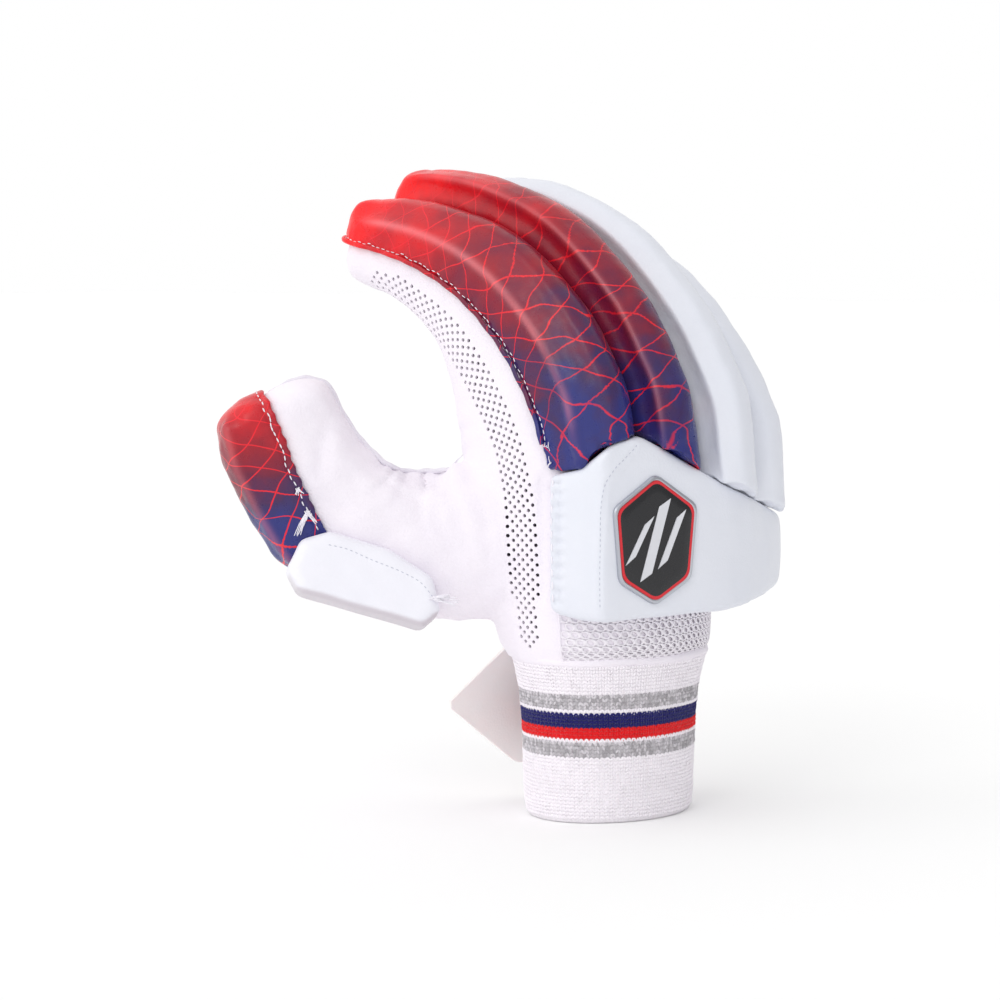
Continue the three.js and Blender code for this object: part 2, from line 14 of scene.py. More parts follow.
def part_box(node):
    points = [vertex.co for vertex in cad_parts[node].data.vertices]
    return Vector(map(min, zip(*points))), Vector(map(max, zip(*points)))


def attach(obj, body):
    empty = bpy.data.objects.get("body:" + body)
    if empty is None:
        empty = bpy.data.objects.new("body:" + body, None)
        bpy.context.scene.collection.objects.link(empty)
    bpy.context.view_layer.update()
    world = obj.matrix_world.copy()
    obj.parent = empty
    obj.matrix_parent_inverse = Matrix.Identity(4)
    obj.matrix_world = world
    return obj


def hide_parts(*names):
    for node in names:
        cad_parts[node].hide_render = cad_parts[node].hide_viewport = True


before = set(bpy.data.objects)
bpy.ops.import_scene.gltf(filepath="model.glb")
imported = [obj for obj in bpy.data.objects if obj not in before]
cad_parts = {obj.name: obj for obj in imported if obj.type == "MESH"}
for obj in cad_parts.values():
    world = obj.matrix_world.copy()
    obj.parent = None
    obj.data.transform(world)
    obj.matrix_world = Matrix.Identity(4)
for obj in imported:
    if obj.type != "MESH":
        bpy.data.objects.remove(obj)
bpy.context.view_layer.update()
scene = bpy.context.scene

# The studio: a wide matt floor that glows a little, white walls that are dimmer on the right, and a broad
# and a narrow light high on the left. The camera looks from 38 degrees round towards the index finger's
# side, just above level.
MM = 0.001
cuff_low, cuff_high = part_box("cuff")
CUFF_AXIS = np.array([(cuff_low.x + cuff_high.x) / 2, (cuff_low.y + cuff_high.y) / 2, 0.0])
VIEW_TURN = math.radians(38)
VIEW_TILT = math.radians(4.5)
VIEW_DISTANCE = 1.3
VIEW_MIDDLE = (-33.7, -26.3, 121.4)
PICTURE_SIZE = 1000
PIXEL = 0.000389
SENSOR_WIDTH = 36
FLOOR_REACH = 9


def metres(points):
    """Places in the glove's own millimetres, as places of the scene."""
    return np.asarray(points, float) * MM + CUFF_AXIS


def millimetres(point):
    """A place of the scene, in the glove's own millimetres."""
    return (np.array(point) - CUFF_AXIS) / MM


def tint(code):
    parts = [int(code[i:i + 2], 16) / 255 for i in (1, 3, 5)]
    return [p / 12.92 if p < 0.04045 else ((p + 0.055) / 1.055) ** 2.4 for p in parts] + [1.0]


def studio_light(name, strength, width, turn, height, colour):
    lamp = bpy.data.lights.new(name, "SUN")
    lamp.energy = strength
    lamp.angle = math.radians(width)
    lamp.color = tint(colour)[:3]
    light = bpy.data.objects.new(name, lamp)
    turn, height = math.radians(turn), math.radians(height)
    away = Vector((math.sin(turn) * math.cos(height), -math.cos(turn) * math.cos(height), math.sin(height)))
    light.rotation_euler = away.to_track_quat("Z", "Y").to_euler()
    scene.collection.objects.link(light)


def add_node(tree, kind, inputs=None, **settings):
    made = tree.nodes.new(kind)
    for key, value in settings.items():
        setattr(made, key, value)
    for socket, value in (inputs or {}).items():
        if isinstance(value, bpy.types.NodeSocket):
            tree.links.new(value, made.inputs[socket])
        else:
            made.inputs[socket].default_value = value
    return made


def math_node(tree, operation, first, second=0.0):
    """The result of one sum on two numbers or sockets."""
    return add_node(tree, "ShaderNodeMath", {0: first, 1: second}, operation=operation).outputs[0]


def ranged(tree, value, low, high, low_result, high_result):
    """A value carried over from one range to another and kept inside it."""
    carry = add_node(tree, "ShaderNodeMapRange", {
        "Value": value, "From Min": low, "From Max": high, "To Min": low_result, "To Max": high_result})
    return carry.outputs["Result"]


ahead = Vector((
    -math.sin(VIEW_TURN) * math.cos(VIEW_TILT),
    math.cos(VIEW_TURN) * math.cos(VIEW_TILT),
    -math.sin(VIEW_TILT),
))
view_right = ahead.cross(Vector((0, 0, 1))).normalized()
view_up = view_right.cross(ahead)
camera_data = bpy.data.cameras.new("camera")
camera_data.sensor_width = SENSOR_WIDTH
camera_data.lens = SENSOR_WIDTH * VIEW_DISTANCE / (PICTURE_SIZE * PIXEL)
camera = bpy.data.objects.new("camera", camera_data)
camera.location = Vector(metres(VIEW_MIDDLE)) - VIEW_DISTANCE * ahead
camera.rotation_euler = ahead.to_track_quat("-Z", "Y").to_euler()
scene.collection.objects.link(camera)
scene.camera = camera

# strength, width of the source, turn and height in degrees
studio_light("key_light", 0.42, 70, -22, 42, "#fffdfb")
studio_light("edge_light", 0.26, 22, 14, 34, "#ffffff")
world = bpy.data.worlds.new("white_room")
world.use_nodes = True
walls = world.node_tree
background = walls.nodes["Background"]
background.inputs["Color"].default_value = (1, 1, 1, 1)
way = add_node(walls, "ShaderNodeTexCoord").outputs["Generated"]
rightwards = add_node(walls, "ShaderNodeVectorMath", {0: way, 1: tuple(view_right)}, operation="DOT_PRODUCT")
towards = add_node(walls, "ShaderNodeVectorMath", {0: way, 1: tuple(-ahead)}, operation="DOT_PRODUCT")
side_walls = ranged(walls, rightwards.outputs["Value"], 0.2, 0.95, 1.0, 0.42)
front_wall = ranged(walls, towards.outputs["Value"], 0.2, 1.0, 0.0, 0.03)
walls.links.new(math_node(walls, "ADD", side_walls, front_wall), background.inputs["Strength"])
scene.world = world
scene.view_settings.view_transform = "Standard"


def under_pixel(tree, x, y):
    """The point and face direction that a surface shows at a place in the square picture."""
    middle = PICTURE_SIZE / 2
    aim = ahead * VIEW_DISTANCE + view_right * ((x - middle) * PIXEL) + view_up * ((middle - y) * PIXEL)
    point, normal, _, _ = tree.ray_cast(camera.location, aim.normalized())
    return point, normal


def new_material(name, colour, roughness):
    material = bpy.data.materials.new(name)
    material.use_nodes = True
    surface = material.node_tree.nodes["Principled BSDF"]
    surface.inputs["Base Color"].default_value = tint(colour)
    surface.inputs["Roughness"].default_value = roughness
    return material, material.node_tree, surface


def mesh_piece(name, vertices, faces, material=None, edges=()):
    mesh = bpy.data.meshes.new(name)
    mesh.from_pydata([tuple(v) for v in vertices], list(edges), [tuple(f) for f in faces])
    mesh.update()
    piece = bpy.data.objects.new(name, mesh)
    scene.collection.objects.link(piece)
    if material:
        mesh.materials.append(material)
    return piece


floor_finish, floor_tree, floor_surface = new_material("floor_matt", "#fbfbfb", 0.9)
floor_grain = add_node(floor_tree, "ShaderNodeTexNoise", {"Scale": 300.0})
floor_bump = add_node(floor_tree, "ShaderNodeBump", {"Strength": 0.02, "Height": floor_grain.outputs["Fac"]})
floor_tree.links.new(floor_bump.outputs["Normal"], floor_surface.inputs["Normal"])
floor_surface.inputs["Specular IOR Level"].default_value = 0.1
floor_surface.inputs["Emission Color"].default_value = (1, 1, 1, 1)
floor_surface.inputs["Emission Strength"].default_value = 0.02
floor_corners = [(x * FLOOR_REACH, y * FLOOR_REACH, 0) for x, y in ((-1, -1), (1, -1), (1, 1), (-1, 1))]
floor = mesh_piece("floor", floor_corners, [(0, 1, 2, 3)], floor_finish)

# The leather hand: soft white leather cut as palm, finger sleeves and thumb and sewn into one glove,
# with punched gussets along the sides of the fingers. The cuff and the mesh back are sewn to it.
CUFF_HEIGHT = 62
SEAM_GAP = 0.3
FINGER_PITCH = 25
HAND_WIDTH = 4 * FINGER_PITCH
HAND_DEPTH = 67
PALM_HEIGHT = 64
PALM_LEAN = -9
SECTION_SHEAR = 0.09
ROOT_SLOPE = 0.2
FINGER_ROOT = 126.3
SEAM_BACK = 9
MESH_TOP = 124
LEATHER_WALL = 1.3
SKIN_CELL = 1.65
LIMB_RINGS = 61
UP = np.array([0.0, 0.0, 1.0])
# height, palm, back, width, squareness, slope
HAND_ROWS = [
    (0, 0.525, 0.5, 0.88, 2, 0), (0.07, 0.57, 0.535, 0.92, 2.05, 0), (0.25, 0.585, 0.54, 0.95, 2.15, 0.1),
    (0.5, 0.555, 0.52, 0.98, 2.3, 0.4), (0.75, 0.52, 0.5, 0.995, 2.45, 0.75), (1, 0.5, 0.5, 1, 2.6, 1),
]
# reach, rise, root, roll, spread, lap
FINGER_ROWS = [
    (0, 0, 1, 0.92, 1, 0.76), (0.06, 0.25, 0.94, 1, 0.55, 0.66), (0.17, 0.5, 0.76, 0.88, 0.2, 0.52),
    (0.34, 0.72, 0.46, 0.74, 0, 0.38), (0.57, 0.87, 0.2, 0.62, 0, 0.32), (0.8, 0.955, 0.04, 0.52, 0, 0.3),
    (1, 1, -0.06, 0.42, 0, 0.3),
]
THUMB_ROWS = [
    (0, 0.08, 1, 0, 1, 0.42), (0.27, 0.02, 0.92, 0, 0.8, 0.42), (0.53, 0.05, 0.82, 0, 0.45, 0.42),
    (0.74, 0.22, 0.56, 0.5, 0.2, 0.42), (0.86, 0.5, 0.14, 0.82, 0.05, 0.42), (0.94, 0.8, 0, 1, 0, 0.42),
    (0.99, 1, -0.05, 0.9, 0, 0.42),
]
# name, slot, reach, rise, roll height
FINGERS = [
    ("index", -1.5, 77, 83, 25), ("middle", -0.5, 76, 99, 28), ("ring", 0.5, 66, 98, 36),
    ("little", 1.5, 50, 83, 37),
]


def eased(values, half_window):
    """A row of numbers with its corners eased, ends kept."""
    window = np.hanning(2 * half_window + 1)
    padded = np.pad(values, half_window, mode="reflect", reflect_type="odd")
    return np.convolve(padded, window / window.sum(), "valid")


def read_rows(rows, places):
    """Each column of a table at places from 0 to 1, with the corners between the rows eased."""
    rows = np.asarray(rows, float)
    fine = np.linspace(0, len(rows) - 1, 40 * (len(rows) - 1) + 1)
    columns = [eased(np.interp(fine, np.arange(len(rows)), column), 16) for column in rows.T]
    return [np.interp(places, fine / (len(rows) - 1), column) for column in columns]


def run_of(line):
    """How far along a line each of its points lies."""
    return np.concatenate([[0], np.cumsum(np.linalg.norm(np.diff(line, axis=0), axis=1))])


def unit(rows):
    """Rows of three numbers, each scaled to a length of 1."""
    return rows / np.linalg.norm(rows, axis=1)[:, None]


def outline(half_width, half_depth, squareness, start, stop, count, closed=True):
    """Evenly spaced points, across and out, on a rounded box outline between two angles."""
    turn = np.radians(np.linspace(start, stop, 721))
    bend = [np.sign(v) * np.abs(v) ** (2 / squareness) for v in (np.cos(turn), np.sin(turn))]
    line = np.stack([half_width * bend[0], half_depth * bend[1]], axis=1)
    run = run_of(line)
    places = np.linspace(0, run[-1], count, endpoint=not closed)
    return np.stack([np.interp(places, run, line[:, k]) for k in (0, 1)], axis=1)


def loft(rings, looped=False):
    """Points and outward faces of a closed body through rings of equal point count."""
    rings = np.asarray(rings, float)
    rows, count = rings.shape[:2]
    vertices = rings.reshape(-1, 3)
    row = np.arange(rows if looped else rows - 1)[:, None] * count
    after = (row + count) % (rows * count)
    i = np.arange(count)[None, :]
    j = (i + 1) % count
    faces = np.stack([row + i, row + j, after + j, after + i], axis=2).reshape(-1, 4).tolist()
    if not looped:
        for first in (0, (rows - 1) * count):
            centre = len(vertices)
            vertices = np.vstack([vertices, vertices[first:first + count].mean(0)])
            fan = [(first + (k + 1) % count, first + k, centre) for k in range(count)]
            faces += fan if first == 0 else [face[::-1] for face in fan]
    corners = vertices[[face[:3] for face in faces]]
    signed = np.einsum("ij,ij->i", corners[:, 0], np.cross(corners[:, 1], corners[:, 2]))
    signed = signed + sum(
        vertices[f[0]] @ np.cross(vertices[f[2]], vertices[f[3]]) for f in faces if len(f) == 4
    ) / len(faces)
    if signed.sum() < 0:
        faces = [face[::-1] for face in faces]
    return vertices, faces


def solid(name, *lofts, material=None):
    """One object from the points and faces of several closed bodies."""
    vertices, faces = [], []
    for points, sides in lofts:
        start = sum(len(part) for part in vertices)
        vertices.append(points)
        faces += [[start + k for k in side] for side in sides]
    return mesh_piece(name, metres(np.vstack(vertices)), faces, material)


def hand_rings(grow, below=0, above=0):
    """Level sections of the hand from the cuff to the finger roots, larger or smaller by a gap."""
    places = np.linspace(0, 1, 41)
    height, palm, back, width, square, slope = read_rows(HAND_ROWS, places)
    rings = []
    for k in range(len(places)):
        half = HAND_DEPTH * (palm[k] + back[k]) / 2 + grow
        middle = PALM_LEAN * height[k] + HAND_DEPTH * (back[k] - palm[k]) / 2
        line = outline(HAND_WIDTH / 2 * width[k] + grow, half, square[k], 0, 360, 110)
        across, out = line[:, 0], line[:, 1]
        level = CUFF_HEIGHT + SEAM_GAP + (PALM_HEIGHT - 2 * SEAM_GAP) * height[k]
        rings.append(np.stack([
            middle + out + SECTION_SHEAR * across * height[k], across, level - ROOT_SLOPE * slope[k] * across,
        ], axis=1))
    if below:
        rings.insert(0, rings[0] - UP * below)
    if above:
        rings.append(rings[-1] + UP * above)
    return rings


def finger(name, slot, reach, rise, roll):
    """A finger's sizes from its row of the table and its place across the hand."""
    across = slot * FINGER_PITCH
    share = abs(across) / (HAND_WIDTH / 2)
    return {
        "name": name, "reach": reach, "rise": rise, "roll": roll, "rows": FINGER_ROWS,
        "side": 1, "slope": ROOT_SLOPE, "heading": np.array([-1.0, 0, 0]),
        "root": np.array([PALM_LEAN + SECTION_SHEAR * across, across, FINGER_ROOT - ROOT_SLOPE * across]),
        "root_depth": HAND_DEPTH * (1 - share ** 2.6) ** (1 / 2.6),
        "depth": 25, "width": 21, "root_spread": 3.5, "tip": 8.5, "square": 2.6,
    }


THUMB_HEADING = math.radians(45)
thumb = {
    "name": "thumb", "reach": 93, "rise": 55, "roll": 15, "rows": THUMB_ROWS, "side": -1, "slope": 0,
    "root": np.array([-0.25 * HAND_DEPTH, -0.29 * HAND_WIDTH, CUFF_HEIGHT + 0.66 * PALM_HEIGHT]),
    "heading": np.array([-math.cos(THUMB_HEADING), -math.sin(THUMB_HEADING), 0]),
    "root_depth": 60, "depth": 35, "width": 25, "root_spread": 14, "tip": 9, "square": 2.3,
}
fingers = [finger(*row) for row in FINGERS]


def through(points, places):
    """A smooth curve through points, read at places from 0 to 1."""
    points = np.asarray(points, float)
    ends = np.vstack([2 * points[0] - points[1], points, 2 * points[-1] - points[-2]])
    spot = np.clip(places, 0, 1) * (len(points) - 1)
    low = np.minimum(spot.astype(int), len(points) - 2)
    t = (spot - low)[:, None]
    a, b, c, d = (ends[low + k] for k in range(4))
    ab, bc, cd = (np.linalg.norm(q - p, axis=1)[:, None] ** 0.5 for p, q in ((a, b), (b, c), (c, d)))
    leave = ((b - a) / ab - (c - a) / (ab + bc) + (c - b) / bc) * bc
    arrive = ((c - b) / bc - (d - b) / (bc + cd) + (d - c) / cd) * bc
    bend = (3 * (c - b) - 2 * leave - arrive) * t ** 2
    return b + leave * t + bend + (2 * (b - c) + leave + arrive) * t ** 3


def stations(limb, places):
    """Middle line, directions and sizes of a finger or the thumb at places from 0 to 1."""
    places = np.asarray(places, float)
    rows = np.asarray(limb["rows"], float)
    forward, upward = rows[:, :1], rows[:, 1:2]
    knots = limb["root"] + limb["heading"] * (limb["reach"] * forward) + UP * (limb["rise"] * upward)
    along = unit(through(knots, np.clip(places + 1e-4, 0, 1)) - through(knots, np.clip(places - 1e-4, 0, 1)))
    start = np.clip(1 - 12 * places, 0, 1)[:, None] if limb["slope"] else 0 * places[:, None]
    along = unit(along * (1 - start) + UP * start)
    rise, run = along @ UP, along @ limb["heading"]
    out = (UP * run[:, None] - limb["heading"] * rise[:, None]) * limb["side"]
    _, _, root, roll, spread, lap = read_rows(rows, places)
    return {
        "point": through(knots, places), "along": along, "out": out, "across": np.cross(limb["heading"], UP),
        "half_depth": (limb["depth"] + root * (limb["root_depth"] - limb["depth"])) / 2,
        "half_width": (limb["width"] + spread * limb["root_spread"]) / 2,
        "roll": limb["roll"] * roll, "lap": lap, "slope": limb["slope"] * start[:, 0],
    }


def placed(at, k, across, out, ahead_by=0.0):
    """Points of one section, from distances across and out from a limb's middle line."""
    across, out = np.asarray(across, float), np.asarray(out, float)
    along = ahead_by - at["slope"][k] * across
    return (at["point"][k] + across[:, None] * at["across"] + out[:, None] * at["out"][k]
            + along[:, None] * at["along"][k])


def limb_rings(limb, grow, below=0, sides=44):
    """Sections of a finger or the thumb with a rounded tip, larger or smaller by a gap."""
    at = stations(limb, np.linspace(0, 1, LIMB_RINGS))
    rings = []
    for k in range(LIMB_RINGS):
        line = outline(at["half_width"][k] + grow, at["half_depth"][k] + grow, limb["square"], 0, 360, sides)
        if k == 0 and below:
            rings.append(placed(at, 0, line[:, 0], line[:, 1], -below))
        rings.append(placed(at, k, line[:, 0], line[:, 1]))
    for turn in np.linspace(0, math.pi / 2, 10)[1:-1]:
        small = line * math.cos(turn)
        tip = (limb["tip"] + grow) * math.sin(turn)
        rings.append(placed(at, LIMB_RINGS - 1, small[:, 0], small[:, 1], tip))
    return rings


def settled(piece):
    """Turns a piece and its modifiers into a plain mesh."""
    bpy.context.view_layer.update()
    graph = bpy.context.evaluated_depsgraph_get()
    mesh = bpy.data.meshes.new_from_object(piece.evaluated_get(graph), depsgraph=graph)
    piece.modifiers.clear()
    piece.data = mesh
    return piece


def moulded(piece, cell, passes):
    """Makes one even skin of a piece's parts, and eases its edges."""
    cells = piece.modifiers.new("cells", "REMESH")
    cells.mode = "VOXEL"
    cells.voxel_size = cell * MM
    ease = piece.modifiers.new("ease", "SMOOTH")
    ease.factor = 0.5
    ease.iterations = passes
    settled(piece)
    piece.data.shade_smooth()
    return piece


def points_of(piece):
    """A piece's points in the glove's own millimetres."""
    flat = np.empty(len(piece.data.vertices) * 3)
    piece.data.vertices.foreach_get("co", flat)
    return millimetres(flat.reshape(-1, 3))


def normals_of(piece):
    flat = np.empty(len(piece.data.vertices) * 3)
    piece.data.vertex_normals.foreach_get("vector", flat)
    return flat.reshape(-1, 3)


def move_points(piece, points):
    """Puts a piece's points at places in millimetres."""
    piece.data.vertices.foreach_set("co", metres(points).ravel())
    piece.data.update()


def pushed(piece, lengths):
    """Moves each point of a piece along its normal, in millimetres."""
    move_points(piece, points_of(piece) + normals_of(piece) * np.asarray(lengths)[:, None])


def lumps(points, size, seed):
    """A smooth uneven field, about -1 to 1, with bumps of the given size."""
    dice = np.random.default_rng(seed)
    field = 0
    for _ in range(9):
        wave = dice.normal(size=3)
        wave *= 2 * math.pi / size / np.linalg.norm(wave) * dice.uniform(0.6, 1.5)
        field = field + np.sin(points @ wave + dice.uniform(0, 6.28))
    return field / 4


def nearness(points, path, width):
    """1 on a path, fading to 0 a few widths away."""
    path = np.asarray(path, float)
    fine = np.linspace(0, len(path) - 1, 12 * len(path))
    dense = np.stack([np.interp(fine, np.arange(len(path)), column) for column in path.T], axis=1)
    nearest = np.full(len(points), 1e9)
    for spot in dense:
        nearest = np.minimum(nearest, ((points - spot) ** 2).sum(1))
    return np.exp(-nearest / width ** 2)


def surface_tree(piece):
    return BVHTree.FromPolygons(
        [v.co.copy() for v in piece.data.vertices], [tuple(p.vertices) for p in piece.data.polygons],
    )


def seen_path(tree, pixels):
    """Points of the glove, in millimetres, under a line of picture places."""
    hits = [under_pixel(tree, x, y)[0] for x, y in pixels]
    return [millimetres(hit) for hit in hits if hit is not None]


def smooth_step(value, low, high):
    """0 below one value, 1 above another, and a smooth step between."""
    t = np.clip((value - low) / (high - low), 0, 1)
    return t * t * (3 - 2 * t)


def hump(value, width):
    """1 where the value is zero, fading to 0 a few widths away."""
    return np.exp(-(value / width) ** 2)


def limb_places(limb, points):
    """How far along, across and out from a limb's middle line each point lies.

    The height of its roll's base and top there follow, and the length of the whole line.
    """
    at = stations(limb, np.linspace(0, 1, 200))
    line = at["point"]
    run = run_of(line)
    flat = np.stack([points @ limb["heading"], points[:, 2]], axis=1)
    track = np.stack([line @ limb["heading"], line[:, 2]], axis=1)
    best = np.full(len(points), 1e9)
    index = np.zeros(len(points), int)
    for k in range(200):
        gap = ((flat - track[k]) ** 2).sum(1)
        index = np.where(gap < best, k, index)
        best = np.minimum(gap, best)
    offset = points - line[index]
    along = run[index] + np.einsum("ij,ij->i", offset, at["along"][index])
    out = np.einsum("ij,ij->i", offset, at["out"][index])
    base = at["half_depth"][index] * at["lap"][index]
    top = at["half_depth"][index] + at["roll"][index]
    return along, offset @ at["across"], out, base, top, run[-1]


def noise(tree, spot, scale, detail):
    """A cloudy field from 0 to 1 over a piece."""
    cloud = add_node(tree, "ShaderNodeTexNoise", {"Vector": spot, "Scale": scale, "Detail": detail})
    return cloud.outputs["Fac"]


def mixed(tree, share, first, second):
    """One colour with a share of another in it."""
    # a Mix node's float and colour sockets share their names, so the colour ones are set by place
    mix = add_node(tree, "ShaderNodeMix", {0: share, 6: first, 7: second}, data_type="RGBA")
    return mix.outputs[2]


def mapped(tree, name):
    """The two numbers of a UV map that holds measures of the piece."""
    chart = add_node(tree, "ShaderNodeUVMap", uv_map=name)
    parts = add_node(tree, "ShaderNodeSeparateXYZ", {0: chart.outputs["UV"]})
    return parts.outputs["X"], parts.outputs["Y"]


def roughened(tree, surface, height, strength, distance):
    """Fine relief on a finish."""
    bump = add_node(tree, "ShaderNodeBump", {"Strength": strength, "Distance": distance, "Height": height})
    tree.links.new(bump.outputs["Normal"], surface.inputs["Normal"])


def grained(tree, surface, spot, pebbles, creases, strength, distance, gloss, dullness):
    """Pebbled and creased leather grain, duller where it is creased."""
    pebble = add_node(tree, "ShaderNodeTexVoronoi", {"Vector": spot, "Scale": pebbles})
    crease = noise(tree, spot, creases, 4.0)
    roughened(tree, surface, math_node(tree, "ADD", pebble.outputs["Distance"], crease), strength, distance)
    tree.links.new(ranged(tree, crease, 0.0, 1.0, gloss, dullness), surface.inputs["Roughness"])


def white_leather(name, colour, shade, roughness, grain, wall=None):
    """Coated white leather with faint clouds and a soft sheen, and a wall colour of painted shade where
    mapped.
    """
    material, tree, surface = new_material(name, colour, roughness)
    spot = add_node(tree, "ShaderNodeTexCoord").outputs["Object"]
    tone = mixed(tree, noise(tree, spot, 55.0, 3.0), tint(colour), tint(shade))
    if wall:
        # painted shade: the darker wall colour is mixed in where the wall map says
        tone = mixed(tree, mapped(tree, "wall")[0], tone, tint(wall))
    tree.links.new(tone, surface.inputs["Base Color"])
    grained(tree, surface, spot, 1100.0, 420.0, grain, 0.0004, roughness - 0.07, roughness + 0.1)
    surface.inputs["Sheen Weight"].default_value = 0.08
    surface.inputs["Specular IOR Level"].default_value = 0.45
    return material


soft_leather = white_leather("soft_white_leather", "#f8f2f9", "#efe9f3", 0.62, 0.34)
skin = solid(
    "glove_leather", loft(hand_rings(0, below=4)), loft(limb_rings(thumb, 0)),
    *[loft(limb_rings(limb, 0, below=5)) for limb in fingers],
)
moulded(skin, SKIN_CELL, 5)

# picture places along each soft fold, and its width and depth
FOLDS = [
    ([(330, 418), (324, 445), (320, 470)], 3.0, 0.7), ([(300, 400), (306, 430), (322, 455)], 3.5, 0.6),
    ([(372, 455), (384, 476), (404, 494)], 2.4, 0.7), ([(405, 474), (418, 500), (424, 530)], 3.0, 0.8),
    ([(541, 480), (542, 530), (541, 600)], 1.8, 0.9), ([(470, 470), (484, 520), (492, 575)], 3.0, 0.7),
    ([(450, 490), (462, 540), (486, 585)], 3.2, 0.7), ([(436, 520), (462, 570), (490, 610)], 2.6, 0.6),
    ([(362, 285), (378, 283), (396, 291)], 2.0, 0.5), ([(450, 380), (466, 372), (484, 376)], 2.4, 0.5),
    ([(462, 432), (480, 424), (500, 428)], 2.4, 0.5), ([(505, 600), (520, 612), (540, 616)], 2.2, 0.5),
]
# height and depth of the creases across the palm
PALM_CREASES = ((88, 0.8), (104, 0.9), (118, 0.6))
# the web between thumb and palm: picture place, move in the picture, and reach in millimetres
WEB_PULLS = (((431, 474), (0, 9), 8), ((464, 474), (-8, -10), 6), ((372, 458), (2, -3), 7))
skin_tree = surface_tree(skin)
spots = points_of(skin)
press = 0
for pixels, width, depth in FOLDS:
    press = press - depth * nearness(spots, seen_path(skin_tree, pixels), width)
for height, depth in PALM_CREASES:
    bow = np.stack([
        np.full(9, -45.0), np.linspace(-30, 40, 9), height + 4 * np.sin(np.linspace(0, 3, 9)),
    ], axis=1)
    press = press - depth * nearness(spots * [0.6, 1, 1], bow * [0.6, 1, 1], 3.0)
on_thumb = smooth_step(-spots[:, 1] - spots[:, 0], 62, 84) * smooth_step(-spots[:, 2], -172, -150)
thumb_along, thumb_across, thumb_out, _, _, _ = limb_places(thumb, spots)
inner_edge = smooth_step(-thumb_out, 6, 14) * hump(thumb_across, 10) * on_thumb
inner_edge = inner_edge * smooth_step(thumb_along, 34, 44) * smooth_step(-thumb_along, -92, -80)
gathers = 0.75 * np.sin(2 * math.pi * thumb_along / 12.5) + 0.4 * np.sin(thumb_along / 1.1)
press = press + inner_edge * gathers
press = press + (0.26 + 0.34 * on_thumb) * lumps(spots, 19, 3) + (0.12 + 0.14 * on_thumb) * lumps(spots, 8, 5)
under_mesh = smooth_step(spots[:, 0], SEAM_BACK - 1.2, SEAM_BACK + 1.2)
under_mesh = under_mesh * smooth_step(MESH_TOP - ROOT_SLOPE * spots[:, 1] - spots[:, 2], 0, 2)
pushed(skin, press - 0.7 * under_mesh)
for (x, y), (right, down), reach in WEB_PULLS:
    web = under_pixel(surface_tree(skin), x, y)[0]
    if web is not None:
        spots = points_of(skin)
        gap = np.linalg.norm(spots - millimetres(web), axis=1)
        move = (np.array(view_right) * right - np.array(view_up) * down) * PIXEL / MM
        move_points(skin, spots + hump(gap, reach)[:, None] * move)

# the leather is open where the cuff begins, and is a thin wall
open_mesh = bmesh.new()
open_mesh.from_mesh(skin.data)
bmesh.ops.bisect_plane(
    open_mesh, geom=open_mesh.verts[:] + open_mesh.edges[:] + open_mesh.faces[:],
    plane_co=(0, 0, (CUFF_HEIGHT + 0.4) * MM), plane_no=(0, 0, -1), clear_outer=True,
)
open_mesh.to_mesh(skin.data)
open_mesh.free()
wall = skin.modifiers.new("wall", "SOLIDIFY")
wall.thickness = LEATHER_WALL * MM
wall.offset = -1
settled(skin)

# Punched gussets: rows of small round holes in a chequered lattice, cut right through the leather. They run
# from the fingertip down beside the roll's seam to the palm, on the outer sides of the hand.
HOLE = 1.5
HOLE_PITCH = 2.15
PIN_LENGTH = 5.0
# middle line along the side of the hand (x, z), and the width of the punched band there
INDEX_BAND = [
    (-82, 206, 6), (-75, 205, 11), (-59, 197, 14), (-42, 186, 14), (-28, 170, 14), (-16, 152, 15),
    (-9, 135, 15), (-6, 118, 15), (-5, 100, 14), (-5, 84, 11), (-4, 72, 10), (-4, 66, 5),
]
LITTLE_BAND = [(-50, 197, 3), (-40, 189, 6), (-27, 172, 9), (-15, 150, 11), (-8, 128, 12), (-6, 108, 10)]


def punch_places(band, side, tree):
    """Hole places and directions on one side of the hand, by casting the lattice onto the leather."""
    band = np.asarray(band, float)
    line = through(np.insert(band[:, :2], 1, 0, axis=1), np.linspace(0, 1, 400))
    run = run_of(line)
    width = np.interp(np.linspace(0, 1, 400), np.linspace(0, 1, len(band)), band[:, 2])
    row_step = HOLE_PITCH * 0.86
    hits = []
    for row in range(int(run[-1] / row_step)):
        s = row * row_step
        middle = np.array([np.interp(s, run, line[:, k]) for k in range(3)])
        ahead_of = np.array([np.interp(s + 1, run, line[:, k]) for k in range(3)]) - middle
        cross = np.cross(ahead_of / np.linalg.norm(ahead_of), [0, 1, 0])
        half = np.interp(s, run, width) / 2
        shift = 0.5 if row % 2 else 0
        for k in range(-9, 10):
            offset = (k + shift) * 2 * HOLE_PITCH * 0.9
            if abs(offset) > half:
                continue
            start = middle + cross * offset + np.array([0, side * 90.0, 0])
            hit, normal, _, _ = tree.ray_cast(Vector(metres(start)), Vector((0, -side, 0)))
            if hit is not None and abs(normal.y) > 0.45:
                hits.append((hit, normal))
    return hits


def node_group(name, sockets, result_name):
    """A Geometry Nodes group with named inputs and one result, and its two end nodes."""
    tree = bpy.data.node_groups.new(name, "GeometryNodeTree")
    for label, kind in sockets.items():
        tree.interface.new_socket(label, in_out="INPUT", socket_type="NodeSocket" + kind)
    tree.interface.new_socket(result_name, in_out="OUTPUT", socket_type="NodeSocketGeometry")
    return tree, tree.nodes.new("NodeGroupInput"), tree.nodes.new("NodeGroupOutput")


def handed_out(tree, given, result, geometry):
    """Ends a group: its geometry gets the finish and goes to the result."""
    finish = add_node(tree, "GeometryNodeSetMaterial", {
        "Geometry": geometry, "Material": given.outputs["Finish"]})
    tree.links.new(finish.outputs[0], result.inputs[0])


